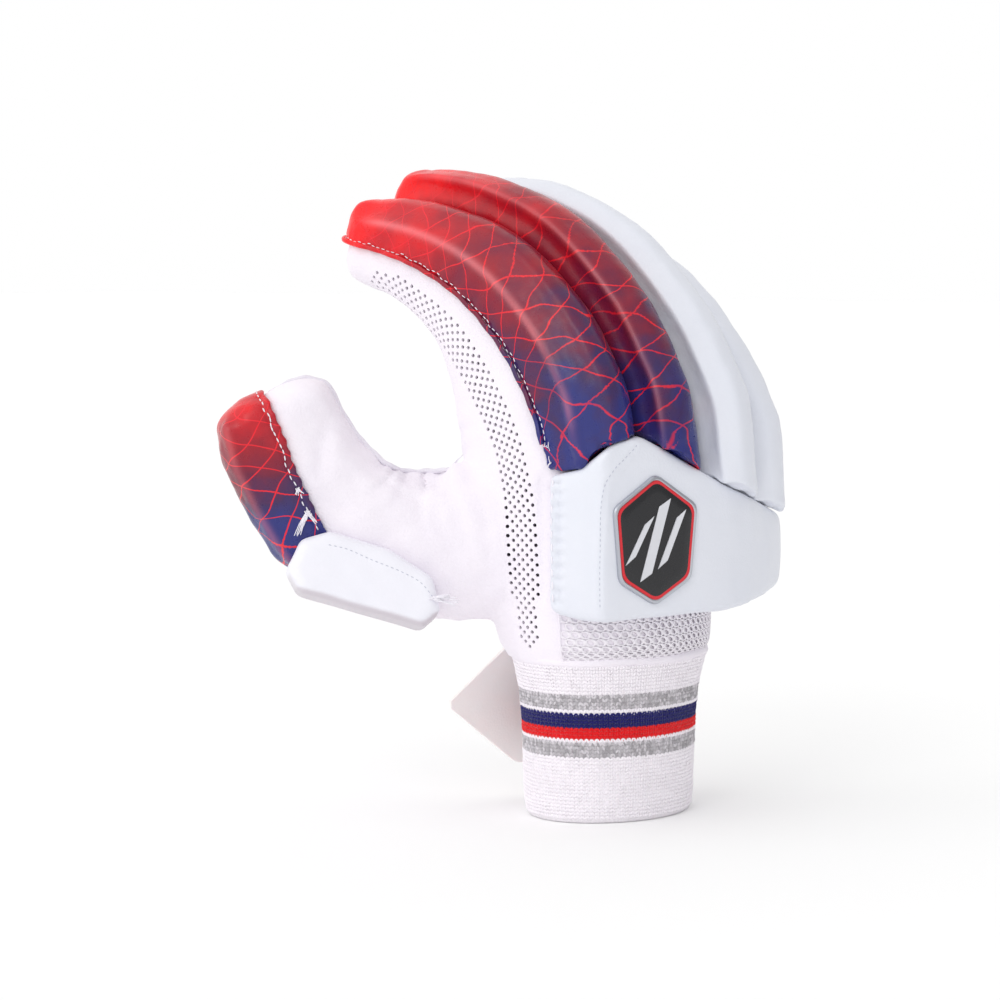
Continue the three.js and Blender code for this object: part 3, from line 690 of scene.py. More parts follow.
def turned_to(tree, axis, direction, **settings):
    """A rotation that turns one axis to a direction."""
    return add_node(
        tree, "FunctionNodeAlignRotationToVector", {"Vector": direction}, axis=axis, **settings)


def direction_node(tree, name):
    """A direction stored on the points of a piece."""
    kept = add_node(tree, "GeometryNodeInputNamedAttribute", {"Name": name}, data_type="FLOAT_VECTOR")
    return kept.outputs[0]


def run_nodes(piece, tree, values):
    """Sets a group's inputs on a piece by their identifiers, and makes the result plain mesh."""
    steps = piece.modifiers.new(tree.name, "NODES")
    steps.node_group = tree
    sockets = {item.name: item.identifier for item in tree.interface.items_tree if item.in_out == "INPUT"}
    for label, value in values.items():
        steps[sockets[label]] = value
    return settled(piece)


def store_directions(piece, name, directions):
    """Stores a direction on each point of a piece."""
    kept = piece.data.attributes.new(name, "FLOAT_VECTOR", "POINT")
    kept.data.foreach_set("vector", np.array(directions, float).ravel())


punch_tree, given, result = node_group("punched_holes", {
    "Leather": "Geometry", "Places": "Object", "Radius": "Float", "Depth": "Float", "Finish": "Material",
}, "Punched")
places_node = add_node(punch_tree, "GeometryNodeObjectInfo", {"Object": given.outputs["Places"]})
pin = add_node(punch_tree, "GeometryNodeMeshCylinder", {
    "Vertices": 8, "Radius": given.outputs["Radius"], "Depth": given.outputs["Depth"]})
pin_turn = turned_to(punch_tree, "Z", direction_node(punch_tree, "aim"))
pins = add_node(punch_tree, "GeometryNodeInstanceOnPoints", {
    "Points": places_node.outputs["Geometry"], "Instance": pin.outputs["Mesh"],
    "Rotation": pin_turn.outputs[0]})
real_pins = add_node(punch_tree, "GeometryNodeRealizeInstances", {"Geometry": pins.outputs[0]})
cut = add_node(punch_tree, "GeometryNodeMeshBoolean", {
    "Mesh 1": given.outputs["Leather"], "Mesh 2": real_pins.outputs[0],
}, operation="DIFFERENCE", solver="MANIFOLD")
handed_out(punch_tree, given, result, cut.outputs[0])

skin_tree = surface_tree(skin)
holes = punch_places(INDEX_BAND, -1, skin_tree) + punch_places(LITTLE_BAND, 1, skin_tree)
hole_marks = mesh_piece("hole_marks", [hit for hit, _ in holes], [])
store_directions(hole_marks, "aim", [normal for _, normal in holes])
run_nodes(skin, punch_tree, {
    "Places": hole_marks, "Radius": HOLE / 2 * MM, "Depth": PIN_LENGTH * MM, "Finish": soft_leather})
bpy.data.objects.remove(hole_marks)
if not skin.data.materials:
    skin.data.materials.append(soft_leather)
skin.data.shade_smooth()
skin.data.set_sharp_from_angle(angle=math.radians(40))


def dressed(piece, slot, *nodes, fill=None):
    """Hands a finished piece to the glove's one body."""
    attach(piece, "root")
    if nodes:
        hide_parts(*nodes)


dressed(
    skin, "white_leather", "palm", "index_sleeve", "middle_sleeve", "ring_sleeve", "little_sleeve",
    "thumb_sleeve",
)

# Sewn seams of the leather hand: where two cut edges meet they stand up as a thin lip. One runs along the
# inner edge of the thumb down to the palm, the other under the index fingertip.
THUMB_EDGE = (
    (262, 378), (284, 374), (306, 374), (332, 382), (352, 402), (368, 424), (382, 444), (396, 454),
    (412, 460), (430, 466), (444, 466), (456, 456),
)
LIP_POINTS = 90


def tube_mesh(path, radii, sides=8, flat=1.0, lean=None):
    """Rings round a path; flat squeezes the section along the lean direction."""
    path = np.asarray(path, float)
    run = unit(np.gradient(path, axis=0))
    side = np.cross(run[0], UP if lean is None else lean)
    if np.linalg.norm(side) < 1e-6:
        side = np.cross(run[0], [1.0, 0, 0])
    rings = []
    radii = np.broadcast_to(radii, len(path))
    for k in range(len(path)):
        if lean is not None:
            side = np.cross(run[k], lean if np.ndim(lean) == 1 else lean[k])
        side = side - run[k] * (side @ run[k])
        side = side / np.linalg.norm(side)
        over = np.cross(run[k], side)
        turn = np.linspace(0, 2 * math.pi, sides, endpoint=False)[:, None]
        rings.append(path[k] + radii[k] * (np.cos(turn) * side + flat * np.sin(turn) * over))
    return loft(rings)


def lip_path(limb, start, stop, side, lift, count=70):
    """A line along the inner or outer side of a limb, and round its tip where it goes past 1."""
    at = stations(limb, np.linspace(start, min(stop, 1), count))
    path = at["point"] + at["out"] * (side * (at["half_depth"] + lift))[:, None]
    if stop > 1:
        for turn in np.linspace(0, math.pi / 2, 12)[1:]:
            out = at["out"][-1] * side * (at["half_depth"][-1] + lift) * math.cos(turn)
            along = at["along"][-1] * (limb["tip"] + lift) * math.sin(turn)
            path = np.vstack([path, at["point"][-1] + out + along])
    return path


def laid_on(tree, path, lift):
    """The nearest points of a surface to a path, lifted a little off it."""
    laid_points = []
    for point in metres(path):
        spot, normal, _, _ = tree.find_nearest(Vector(point))
        laid_points.append(millimetres(spot + normal * (lift * MM)))
    return np.array(laid_points)


seam_finish = white_leather("seam_edge", "#ece8ef", "#e2dde8", 0.7, 0.5)
spots = points_of(skin)
seen = (metres(spots) - np.array(camera.location)) @ np.array([view_right, view_up, ahead]).T
picture = PICTURE_SIZE / 2 + seen[:, :2] / seen[:, 2:] * [1, -1] * VIEW_DISTANCE / PIXEL
thumb_edge = [spots[np.argmin(np.linalg.norm(picture - place, axis=1))] for place in THUMB_EDGE]
steps = np.arange(LIP_POINTS)
thumb_lip = through(thumb_edge, np.linspace(0, 1, LIP_POINTS)) + UP * (0.2 * np.sin(steps * 0.9))[:, None]
lip_width = 1.05 * np.clip(np.minimum(steps, LIP_POINTS - 1 - steps) / 12, 0.15, 1)
index_lip = laid_on(surface_tree(skin), lip_path(fingers[0], 0.42, 1.2, -1, 0.1), 0.1)
lips = [tube_mesh(thumb_lip, lip_width, 10), tube_mesh(index_lip, 0.5, 8)]
seams = solid("glove_seams", *lips, material=seam_finish)
seams.data.shade_smooth()
dressed(seams, "white_leather")

# Finger rolls: long pads of cotton and foam in a leather cover, one along the back of each finger. Index and
# middle are printed red to navy with fine red lines, ring and little are plain white. Sewn along both edges.
ROLL_HALF_WIDTH = 12.25
ROLL_TIP = 11
ROLL_SEAM = 1.9
LATTICE = 112
SWELL_FRAMES = 20
# where along a roll each printed colour stands, from the root to the tip
PRINT_STOPS = [
    (0.1, "#2a2f76"), (0.24, "#3c2658"), (0.38, "#6e1a3a"), (0.58, "#98172a"), (0.8, "#cc1522"),
    (0.97, "#fa1118"),
]
# slope and count of the two sets of fine lines
PRINT_LINES = ((0.9, 12.0), (-0.75, 10.0))


def roll_rings(limb, start, half_width, tip, grow=0.0, sides=64, square=3.7):
    """Sections of a padded roll over a limb's back, with a rounded tip."""
    places = np.linspace(start, 1, 64)
    at = stations(limb, places)
    rings = []

    def ring(k, share, ahead_by):
        base = at["half_depth"][k] * at["lap"][k]
        height = at["half_depth"][k] + at["roll"][k] - base + 2 * grow
        arc = outline(half_width + grow, height, square, 0, 180, sides, closed=False)
        return placed(at, k, arc[:, 0] * share, base - grow + arc[:, 1] * share ** 0.8, ahead_by)

    for k in range(len(places)):
        early = (places[k] - start) / 0.05
        rings.append(ring(k, 1 if start == 0 else 0.75 + 0.25 * math.sqrt(min(early, 1)), 0))
    for turn in np.linspace(0, math.pi / 2, 11)[1:-1]:
        rings.append(ring(len(places) - 1, math.cos(turn), (tip + grow) * math.sin(turn)))
    return rings


# Wrist pad, outer face in plan and its edges and wall, as shares of the hand's sizes
PAD_ROWS = [
    (0.3, -1.045, 0.34, 1.13, 0.9), (0.38, -1.05, 0.31, 1.14, 1), (0.66, -1.01, 0.28, 1.17, 1),
    (0.93, -0.95, 0.27, 1.28, 1), (0.985, -0.87, 0.27, 1.33, 1.1), (1.12, -0.63, 0.275, 1.36, 1.2),
    (1.27, -0.37, 0.28, 1.26, 1.25), (1.42, -0.1, 0.285, 1.15, 1.3), (1.5, 0.15, 0.285, 1.06, 1.3),
    (1.53, 0.42, 0.31, 0.99, 1.2), (1.48, 0.72, 0.345, 0.91, 1.1), (1.36, 1.0, 0.38, 0.85, 0.9),
    (1.27, 1.1, 0.41, 0.82, 0.7),
]
PAD_WALL = 15
PAD_EDGE = 3.2


def pad_rings(grow=0.0, proud=0.0, crown=0.0):
    """Upright sections of the wrist pad from its index side round to the little finger's side."""
    rows = np.asarray(PAD_ROWS, float)
    face = rows[:, :2] * [HAND_DEPTH / 2, HAND_WIDTH / 2]
    run = run_of(face)
    places = np.linspace(0, run[-1], int(run[-1]) + 1)
    x, y, low, high, wall = (eased(np.interp(places, run, column), 4) for column in (
        face[:, 0], face[:, 1], rows[:, 2], rows[:, 3], rows[:, 4] * PAD_WALL))
    ahead_of = unit(np.stack([np.gradient(x), np.gradient(y)], axis=1))
    outward = np.stack([ahead_of[:, 1], -ahead_of[:, 0]], axis=1)
    edge = PAD_EDGE
    turns = np.linspace(0, math.pi / 2, 5)
    rings = []
    for k in range(len(places)):
        spot = np.array([x[k], y[k]])
        core = -spot / np.linalg.norm(spot)
        bottom = CUFF_HEIGHT + PALM_HEIGHT * low[k] - grow
        top = CUFF_HEIGHT + PALM_HEIGHT * high[k] + grow
        section = [(wall[k], bottom)]
        section += [(edge - edge * math.sin(t), bottom + edge - edge * math.cos(t)) for t in turns]
        for share in np.linspace(0, 1, 26)[1:-1]:
            bulge = -crown * math.sin(math.pi * share) ** 0.6
            section.append((bulge, bottom + edge + (top - bottom - 2 * edge) * share))
        section += [(edge - edge * math.cos(t), top - edge + edge * math.sin(t)) for t in turns]
        section += [(wall[k], top + (bottom - top) * share) for share in np.linspace(0, 1, 20)[:-1]]
        stretch = -grow if k == 0 else grow if k == len(places) - 1 else 0
        ring = []
        for depth, z in section:
            flat = spot + core * depth + ahead_of[k] * stretch
            flat = flat + (outward[k] * (grow + proud) if depth < wall[k] else core * grow)
            ring.append((flat[0], flat[1], z))
        rings.append(ring)
    return rings


def carved(piece, *cutters):
    """Cuts other bodies out of a piece and takes them away."""
    for number, cutter in enumerate(cutters):
        knife = piece.modifiers.new(f"cut_{number}", "BOOLEAN")
        knife.operation = "DIFFERENCE"
        knife.solver = "MANIFOLD"
        knife.object = cutter
    settled(piece)
    for cutter in cutters:
        bpy.data.objects.remove(cutter)
    return piece


def map_onto(piece, name, first, second):
    """Writes two numbers for each point of a piece as a UV map."""
    layer = piece.data.uv_layers.new(name=name)
    loops = np.empty(len(piece.data.loops), int)
    piece.data.loops.foreach_get("vertex_index", loops)
    layer.data.foreach_set("uv", np.stack([first[loops], second[loops]], axis=1).ravel())


def print_chart(piece, along, length, ridge_highlight, around):
    """Maps the printed colours, the painted ridge highlight and the fine lines onto a piece."""
    map_onto(piece, "print", along / (length + ROLL_TIP), ridge_highlight)
    map_onto(piece, "lattice", along / LATTICE, around / LATTICE)


def set_stops(ramp, stops, length=1.0):
    """Sets a colour ramp from places along a length and their colours."""
    while len(ramp.elements) < len(stops):
        ramp.elements.new(0.5)
    for element, (place, code) in zip(ramp.elements, stops):
        element.position = place / length
        element.color = tint(code)


def printed_leather(name):
    """Satin leather, red at the tip through maroon to navy at the root, fine red lines, a painted ridge
    highlight.
    """
    material, tree, surface = new_material(name, "#8c1c30", 0.38)
    spot = add_node(tree, "ShaderNodeTexCoord").outputs["Object"]
    drift = noise(tree, spot, 26.0, 2.0)
    cloud = noise(tree, spot, 60.0, 3.0)
    along, ridge = mapped(tree, "print")
    place = math_node(tree, "ADD", along, ranged(tree, cloud, 0.3, 0.7, -0.09, 0.15))
    tones = add_node(tree, "ShaderNodeValToRGB", {"Fac": place})
    set_stops(tones.color_ramp, PRINT_STOPS)
    net_along, net_around = mapped(tree, "lattice")
    run = math_node(tree, "ADD", net_along, math_node(tree, "MULTIPLY", drift, 0.17))
    weight = ranged(tree, cloud, 0.3, 0.7, 0.022, 0.046)
    lines = []
    for lean, count in PRINT_LINES:
        sway = math_node(tree, "ADD", math_node(tree, "MULTIPLY", net_around, lean), run)
        zig = math_node(tree, "PINGPONG", math_node(tree, "MULTIPLY", sway, count), 0.5)
        lines.append(ranged(tree, zig, 0.012, weight, 1.0, 0.0))
    worn = ranged(tree, drift, 0.35, 0.55, 0.45, 1.0)
    ink = math_node(tree, "MULTIPLY", math_node(tree, "MAXIMUM", *lines), worn)
    colour = mixed(tree, ink, tones.outputs["Color"], tint("#ea1c2c"))
    # painted highlight: the ridge share lightens the colour to pale pink, standing in for light caught on the
    # ridge
    painted_highlight = math_node(tree, "MULTIPLY", ridge, ranged(tree, drift, 0.3, 0.6, 0.12, 0.42))
    tree.links.new(mixed(tree, painted_highlight, colour, tint("#ff9aa0")), surface.inputs["Base Color"])
    grained(tree, surface, spot, 1800.0, 380.0, 0.1, 0.0003, 0.22, 0.36)
    surface.inputs["Specular IOR Level"].default_value = 0.4
    return material


stitch_tree, given, result = node_group("running_stitches", {
    "Path": "Geometry", "Pitch": "Float", "Length": "Float", "Thread": "Float", "Finish": "Material",
}, "Stitches")
line_node = add_node(stitch_tree, "GeometryNodeMeshToCurve", {"Mesh": given.outputs["Path"]})
step = add_node(stitch_tree, "GeometryNodeResampleCurve", {"Curve": line_node.outputs[0]}, mode="LENGTH")
stitch_tree.links.new(given.outputs["Pitch"], step.inputs["Length"])
tangent = add_node(stitch_tree, "GeometryNodeInputTangent")
lie = turned_to(stitch_tree, "Z", tangent.outputs[0])
size = add_node(stitch_tree, "ShaderNodeCombineXYZ", {
    "X": given.outputs["Thread"], "Y": given.outputs["Thread"], "Z": given.outputs["Length"]})
bead = add_node(stitch_tree, "GeometryNodeMeshUVSphere", {"Segments": 8, "Rings": 6, "Radius": 0.5})
laid = add_node(stitch_tree, "GeometryNodeInstanceOnPoints", {
    "Points": step.outputs[0], "Instance": bead.outputs["Mesh"], "Rotation": lie.outputs[0],
    "Scale": size.outputs[0]})
real = add_node(stitch_tree, "GeometryNodeRealizeInstances", {"Geometry": laid.outputs[0]})
handed_out(stitch_tree, given, result, real.outputs[0])
thread_finish, thread_nodes, thread_surface = new_material("white_thread", "#f6f3fb", 0.7)
thread_spot = add_node(thread_nodes, "ShaderNodeTexCoord").outputs["Object"]
thread_twist = add_node(thread_nodes, "ShaderNodeTexWave", {
    "Vector": thread_spot, "Scale": 900.0, "Distortion": 3.0})
roughened(thread_nodes, thread_surface, thread_twist.outputs["Fac"], 0.4, 0.0002)
thread_surface.inputs["Sheen Weight"].default_value = 0.2


def stitched(name, paths, pitch=2.6, length=1.8, thread=0.42, finish=thread_finish):
    """Lays running stitches along paths, all in millimetres."""
    points, edges = [], []
    for path in paths:
        start = len(points)
        points += [tuple(p) for p in path]
        edges += [(start + k, start + k + 1) for k in range(len(path) - 1)]
    piece = mesh_piece(name, metres(points), [], edges=edges)
    run_nodes(piece, stitch_tree, {
        "Pitch": pitch * MM, "Length": length * MM, "Thread": thread * MM, "Finish": finish})
    piece.data.shade_smooth()
    return piece


def edge_path(limb, side, start, stop, half_width, lift, proud=0.0, count=120, dome=0.0):
    """A line along the sewn edge of a roll, lifted from its base by some millimetres."""
    at = stations(limb, np.linspace(start, stop, count))
    base = at["half_depth"] * at["lap"] + lift
    reach = side * (half_width + proud)
    path = at["point"] + at["out"] * base[:, None] + at["across"] * reach
    for turn in np.linspace(0, math.pi / 2, 10)[1:] if dome else ():
        tip = at["point"][-1] + at["out"][-1] * base[-1] + at["across"] * reach * math.cos(turn)
        path = np.vstack([path, tip + at["along"][-1] * (dome + proud) * math.sin(turn)])
    return path


def swollen(piece, cell, pressure, cap, still=None):
    """Stuffs a pad: a coarse copy swells as cloth, and the pad's own skin follows it by a capped way."""
    bladder = piece.copy()
    bladder.data = piece.data.copy()
    scene.collection.objects.link(bladder)
    moulded(bladder, cell, 0)
    before = points_of(bladder)
    cloth = bladder.modifiers.new("stuffing", "CLOTH")
    cloth.settings.use_pressure = True
    cloth.settings.uniform_pressure_force = pressure
    cloth.settings.effector_weights.gravity = 0
    cloth.point_cache.frame_start = 1
    cloth.point_cache.frame_end = SWELL_FRAMES
    for frame_number in range(1, SWELL_FRAMES + 1):
        scene.frame_set(frame_number)
    moved = points_of(settled(bladder)) - before
    scene.frame_set(1)
    bpy.data.objects.remove(bladder)
    tree = KDTree(len(before))
    for k, point in enumerate(before):
        tree.insert(point, k)
    tree.balance()
    spots = points_of(piece)
    follow = np.zeros_like(spots)
    for k, spot in enumerate(spots):
        near = tree.find_n(spot, 5)
        weights = np.array([1 / (gap + 0.6) ** 2 for _, _, gap in near])
        follow[k] = (moved[[index for _, index, _ in near]] * weights[:, None]).sum(0) / weights.sum()
    if still is not None:
        follow -= (follow @ still)[:, None] * still
    way = np.linalg.norm(follow, axis=1)[:, None]
    move_points(piece, spots + follow * cap / (cap + way))


def covered(piece, finish):
    """Gives a piece one finish and smooth shading."""
    piece.data.materials.clear()
    piece.data.materials.append(finish)
    piece.data.shade_smooth()


print_finish = printed_leather("printed_leather")
pad_finish = white_leather("pad_white_leather", "#e6e8f0", "#dfe2ec", 0.36, 0.12)
finger_stitches = []
rolls = {}
for limb in fingers:
    name = limb["name"]
    printed = name in ("index", "middle")
    roll = solid(name + "_roll_cover", loft(roll_rings(limb, 0.0, ROLL_HALF_WIDTH, ROLL_TIP)))
    carved(
        roll, solid("sleeve_room", loft(limb_rings(limb, SEAM_GAP))),
        solid("pad_room", loft(pad_rings(SEAM_GAP))),
        solid("pad_front_room", loft(pad_rings(SEAM_GAP, proud=12))),
    )
    moulded(roll, 0.85, 3)
    swollen(roll, 4, 4, 0.45, still=np.array([0.0, 1.0, 0.0]))
    spots = points_of(roll)
    along, across, out, base, top, length = limb_places(limb, spots)
    rim = out - base
    side = np.abs(across) > 7
    near_seam = np.exp(-np.clip(rim - 1.5, 0, None) / 3.0) * (rim > -2) * side
    bend = hump(along - 0.58 * length, 0.2 * length)
    puckers = 0.16 * np.sin(2 * math.pi * along / 3.4) * near_seam
    fans = 0.5 * bend * np.sin(2 * math.pi * along / 8.5 + 1)
    fans = fans * np.exp(-np.clip(rim - 1, 0, None) / 6.0) * side
    groove = -0.45 * hump(rim - ROLL_SEAM, 0.8) * side
    off_ridge = np.hypot(np.abs(across) - 0.85 * ROLL_HALF_WIDTH, rim - 0.85 * (top - base))
    ridge = 1.5 * hump(off_ridge, 2.0) - 0.6 * hump(off_ridge - 6, 2.8)
    # a painted highlight along the ridge on the index side of each roll, written into the print map below
    ridge_highlight = 0.8 * hump(off_ridge, 1.3) * (across < 0)
    hollow = smooth_step(across if name == "index" else np.abs(across), 9, 11.4)
    if name == "index":
        # its free side is lower than the others' and slopes from there up to the next roll
        free_side = smooth_step(-across, -2, 4)
        low_ridge = np.hypot(across + ROLL_HALF_WIDTH - 0.5, rim - 0.52 * (top - base))
        corner = np.hypot(across + 0.8 * ROLL_HALF_WIDTH, rim - 0.87 * (top - base))
        slope = 1.7 * hump(low_ridge, 2.6) - 2.6 * hump(corner, 6.5)
        ridge = ridge * (1 - free_side) + slope * free_side
        # on the index roll the painted highlight follows its lower ridge
        ridge_highlight = hump(low_ridge, 1.5)
    ridge = ridge - 1.1 * hollow * smooth_step(rim, 3, 8) * smooth_step(top - out, 2, 5)
    ridge = ridge * (1 - smooth_step(along, length - 4, length + 6))
    unevenness = 0.3 * lumps(spots, 24, len(name)) + 0.1 * lumps(spots, 8, 2)
    pushed(roll, puckers + fans + groove + ridge + unevenness)
    around = np.arctan2(np.clip(rim, 0, None), across) * 17
    ridge_highlight = ridge_highlight * smooth_step(along, 6, 20) * (1 - smooth_step(along, length - 12, length))
    print_chart(roll, along, length, ridge_highlight, around)
    covered(roll, print_finish if printed else pad_finish)
    rolls[name] = roll
    dressed(roll, "print_leather" if printed else "pad_leather", name + "_roll", fill=0.9)

# the hem stands out as a thin rim along the free side of the two outer rolls, with the stitches above it
for name, side, start in (("index", -1, 0.07), ("little", 1, 0.03)):
    limb = next(limb for limb in fingers if limb["name"] == name)
    limb_across = stations(limb, [0.5])["across"]
    edge = edge_path(limb, side, start, 1, ROLL_HALF_WIDTH, 0.6, 0.3, dome=ROLL_TIP)
    wavy = limb_across * side * (0.35 * np.sin(np.arange(len(edge)) * 0.62))[:, None]
    rim = solid(name + "_roll_rim", tube_mesh(edge + wavy, 0.95, 10, flat=0.6, lean=limb_across))
    along, across, out, base, top, length = limb_places(limb, points_of(rim))
    around = np.arctan2(np.clip(out - base, 0, None), across) * 17
    print_chart(rim, along, length, 0 * along, around)
    covered(rim, print_finish if name == "index" else pad_finish)
    dressed(rim, "print_leather" if name == "index" else "pad_leather")
    seam_line = edge_path(limb, side, start, 1, ROLL_HALF_WIDTH, ROLL_SEAM, 1.0, dome=ROLL_TIP - 1)
    finger_stitches.append(laid_on(surface_tree(rolls[name]), seam_line, 0.1))
roll_thread = stitched("roll_stitches", finger_stitches)
dressed(roll_thread, "white_leather")

# Thumb guard: a smaller printed pad wrapped over the thumb's outer end and sewn on along its inner edge,
# where the thread ends in a knot with two frayed tails.
GUARD_HALF_WIDTH = 14.0
GUARD_SEAM = 3.0
tip_pad = solid("thumb_guard", loft(roll_rings(thumb, 0.5, GUARD_HALF_WIDTH, 10)))
carved(tip_pad, solid("thumb_room", loft(limb_rings(thumb, SEAM_GAP))))
moulded(tip_pad, 0.8, 4)
swollen(tip_pad, 4, 4, 0.5)
spots = points_of(tip_pad)
along, across, out, base, top, length = limb_places(thumb, spots)
rim = out - base
near_hem = np.exp(-np.clip(rim - 1, 0, None) / 4) * smooth_step(along, 60, 90)
gather = 0.3 * np.sin(2 * math.pi * along / 5.2) * near_hem
groove = -0.5 * hump(rim - GUARD_SEAM, 0.9) * (np.abs(across) > 6)
off_ridge = np.hypot(np.abs(across) - 11.6, rim - 0.84 * (top - base))
ridge = 0.9 * hump(off_ridge, 2.0) - 0.4 * hump(off_ridge - 5, 2.4)
pushed(tip_pad, gather + ridge + groove + 0.3 * lumps(spots, 15, 11) + 0.08 * lumps(spots, 6, 12))
thumb_share = (along - along.min()) / (along.max() - along.min())
# the print map's second number is a painted highlight along the guard's ridge
map_onto(tip_pad, "print", 0.86 * thumb_share ** 1.15 - 0.04, 0.5 * hump(off_ridge, 1.5))
map_onto(tip_pad, "lattice", along / LATTICE, np.arctan2(np.clip(rim, 0, None), across) * 15 / LATTICE)
covered(tip_pad, print_finish)
dressed(tip_pad, "print_leather", "thumb_tip_pad", fill=0.85)
tip_tree = surface_tree(tip_pad)
guard_lines = [
    laid_on(tip_tree, edge_path(thumb, side, 0.56, 1, GUARD_HALF_WIDTH, GUARD_SEAM, 0.8, dome=9), 0.12)
    for side in (-1, 1)
]
guard_thread = stitched("thumb_guard_stitches", guard_lines, pitch=2.9, length=2.0, thread=0.55)
dressed(guard_thread, "white_leather")

# Thumb plate: a firm padded plate on the outer side of the thumb's lower joint, with a fine stitched edge,
# its downward lower wall painted a darker grey-white as shade.
PLATE_SEAM = [(330, 545), (347, 549), (372, 560), (402, 572), (420, 582), (432, 596)]


def node_copy(node, name):
    """A merged copy of a piece of the frame, to be made soft."""
    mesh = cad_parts[node].data.copy()
    mesh.materials.clear()
    merged = bmesh.new()
    merged.from_mesh(mesh)
    bmesh.ops.remove_doubles(merged, verts=merged.verts, dist=1e-6)
    merged.to_mesh(mesh)
    merged.free()
    piece = bpy.data.objects.new(name, mesh)
    scene.collection.objects.link(piece)
    return piece


plate = moulded(node_copy("thumb_plate", "thumb_plate_cover"), 0.7, 40)
swollen(plate, 4, 4, 0.6)
pushed(plate, 0.14 * lumps(points_of(plate), 14, 21) + 0.75)
# painted shade: faces turned downwards get the darker wall colour
facing_down = smooth_step(-normals_of(plate)[:, 2], 0.15, 0.6)
map_onto(plate, "wall", facing_down, 0 * facing_down)
plate.data.materials.append(white_leather("plate_leather", "#f3f2f9", "#ebebf4", 0.42, 0.14, wall="#cfc8d0"))
dressed(plate, "pad_leather", "thumb_plate", fill=0.9)
plate_tree = surface_tree(plate)
plate_line = through(seen_path(plate_tree, PLATE_SEAM), np.linspace(0, 1, 60))
# the stitches are real, and their grey is painted shade standing for the shade in their needle holes
hole_shade_thread = new_material("hole_shade_thread", "#c3c6d3", 0.7)[0]
plate_thread = stitched(
    "thumb_plate_stitches", [laid_on(plate_tree, plate_line, 0.02)], 2.0, 1.2, 0.34, hole_shade_thread)
dressed(plate_thread, "white_leather")

# Wrist pad: thick foam in smooth leather, folded in flat faces over the back of the hand above the wrist,
# with a welt down its index side, sewn with gathered stitches.
# picture places: the groove beside the welt, the welt's stitches, and the fine seam beside the badge
WELT_GROOVE = [(557, 484), (557, 520), (557, 560), (557, 600)]
WELT_STITCHES = [(553, 484), (552, 520), (552, 560), (553, 598)]
BADGE_SEAM = [(636, 446), (606, 482), (600, 560), (600, 606)]
pad = solid("wrist_pad_cover", loft(pad_rings(crown=0.5)))
carved(
    pad, solid("hand_room", loft(hand_rings(SEAM_GAP, below=1, above=1))),
    *[solid("finger_room", loft(limb_rings(limb, SEAM_GAP, below=2))) for limb in fingers],
)
moulded(pad, 0.9, 3)
swollen(pad, 5, 4, 0.3)
spots = points_of(pad)
pad_tree = surface_tree(pad)
welt = seen_path(pad_tree, WELT_GROOVE)
badge_seam = seen_path(pad_tree, BADGE_SEAM)
shape = -1.3 * nearness(spots, welt, 1.3) + 0.5 * nearness(spots, badge_seam, 2.2)
shape = shape - 0.5 * nearness(spots, badge_seam, 0.8)
puckers = 0.5 * np.sin(2 * math.pi * spots[:, 2] / 4.6) * nearness(spots, welt, 3.0)
pushed(pad, shape + puckers + 0.16 * lumps(spots, 30, 31) + 0.05 * lumps(spots, 9, 32))
covered(pad, pad_finish)
dressed(pad, "pad_leather", "wrist_pad", fill=0.95)
pad_tree = surface_tree(pad)
even = np.linspace(0, 1, 80)
welt_line = laid_on(pad_tree, through(seen_path(pad_tree, WELT_STITCHES), even), 0.1)
seam_line = laid_on(pad_tree, through(badge_seam, even), 0.0)
pad_thread = stitched("wrist_pad_stitches", [welt_line], 4.6, 3.0, 0.8)
dressed(pad_thread, "white_leather")
fine_thread = stitched("badge_seam_stitches", [seam_line], 2.0, 1.2, 0.36, hole_shade_thread)
dressed(fine_thread, "white_leather")

# Wrist badge: a moulded hexagonal plaque on the pad's flat face, with a silver rim, a thin red line and
# raised pale bars on a black field.
BADGE_WIDTH, BADGE_HEIGHT = 38, 50
BADGE_CORNERS = np.array([[0, 1], [1, 0.5], [0.86, -0.62], [0, -1], [-0.86, -0.62], [-1, 0.5]])
CORNER_ROUND = 3
BAR_LEAN = 4.2
# middle, half height and half width of each bar
BARS = ((-7.6, 9.0, 2.1), (-0.6, 15.5, 2.6), (6.8, 11.0, 2.1))
first, last = (
    np.array([PAD_ROWS[k][0] * HAND_DEPTH / 2, PAD_ROWS[k][1] * HAND_WIDTH / 2, 0]) for k in (3, 7)
)
badge_across = (last - first) / np.linalg.norm(last - first)
badge_out = np.cross(badge_across, UP)
badge_middle = (first + last) / 2 + UP * (CUFF_HEIGHT + PALM_HEIGHT * 0.75)


def on_badge(flat, height):
    """Places on the badge's face, across and up it and at a height off the pad."""
    flat = np.asarray(flat, float)
    return badge_middle + flat[:, :1] * badge_across + flat[:, 1:2] * UP + badge_out * height


def hexagon(inset):
    """The badge's outline with rounded corners, drawn in by a width."""
    corners = BADGE_CORNERS * [BADGE_WIDTH / 2 - inset, BADGE_HEIGHT / 2 - inset * 1.1]
    points = []
    for k in range(6):
        before, here, after = corners[k - 1], corners[k], corners[(k + 1) % 6]
        arrive = here + (before - here) / np.linalg.norm(before - here) * CORNER_ROUND
        leave = here + (after - here) / np.linalg.norm(after - here) * CORNER_ROUND
        for t in np.linspace(0, 1, 6):
            points.append(arrive * (1 - t) ** 2 + here * 2 * t * (1 - t) + leave * t ** 2)
    return np.array(points)


def badge_layer(name, steps, material):
    """One moulded layer of the badge, from insets and heights."""
    rings = [on_badge(hexagon(inset), height) for inset, height in steps]
    layer = solid(name, loft(rings), material=material)
    layer.data.shade_smooth()
    layer.data.set_sharp_from_angle(angle=math.radians(35))
    return layer


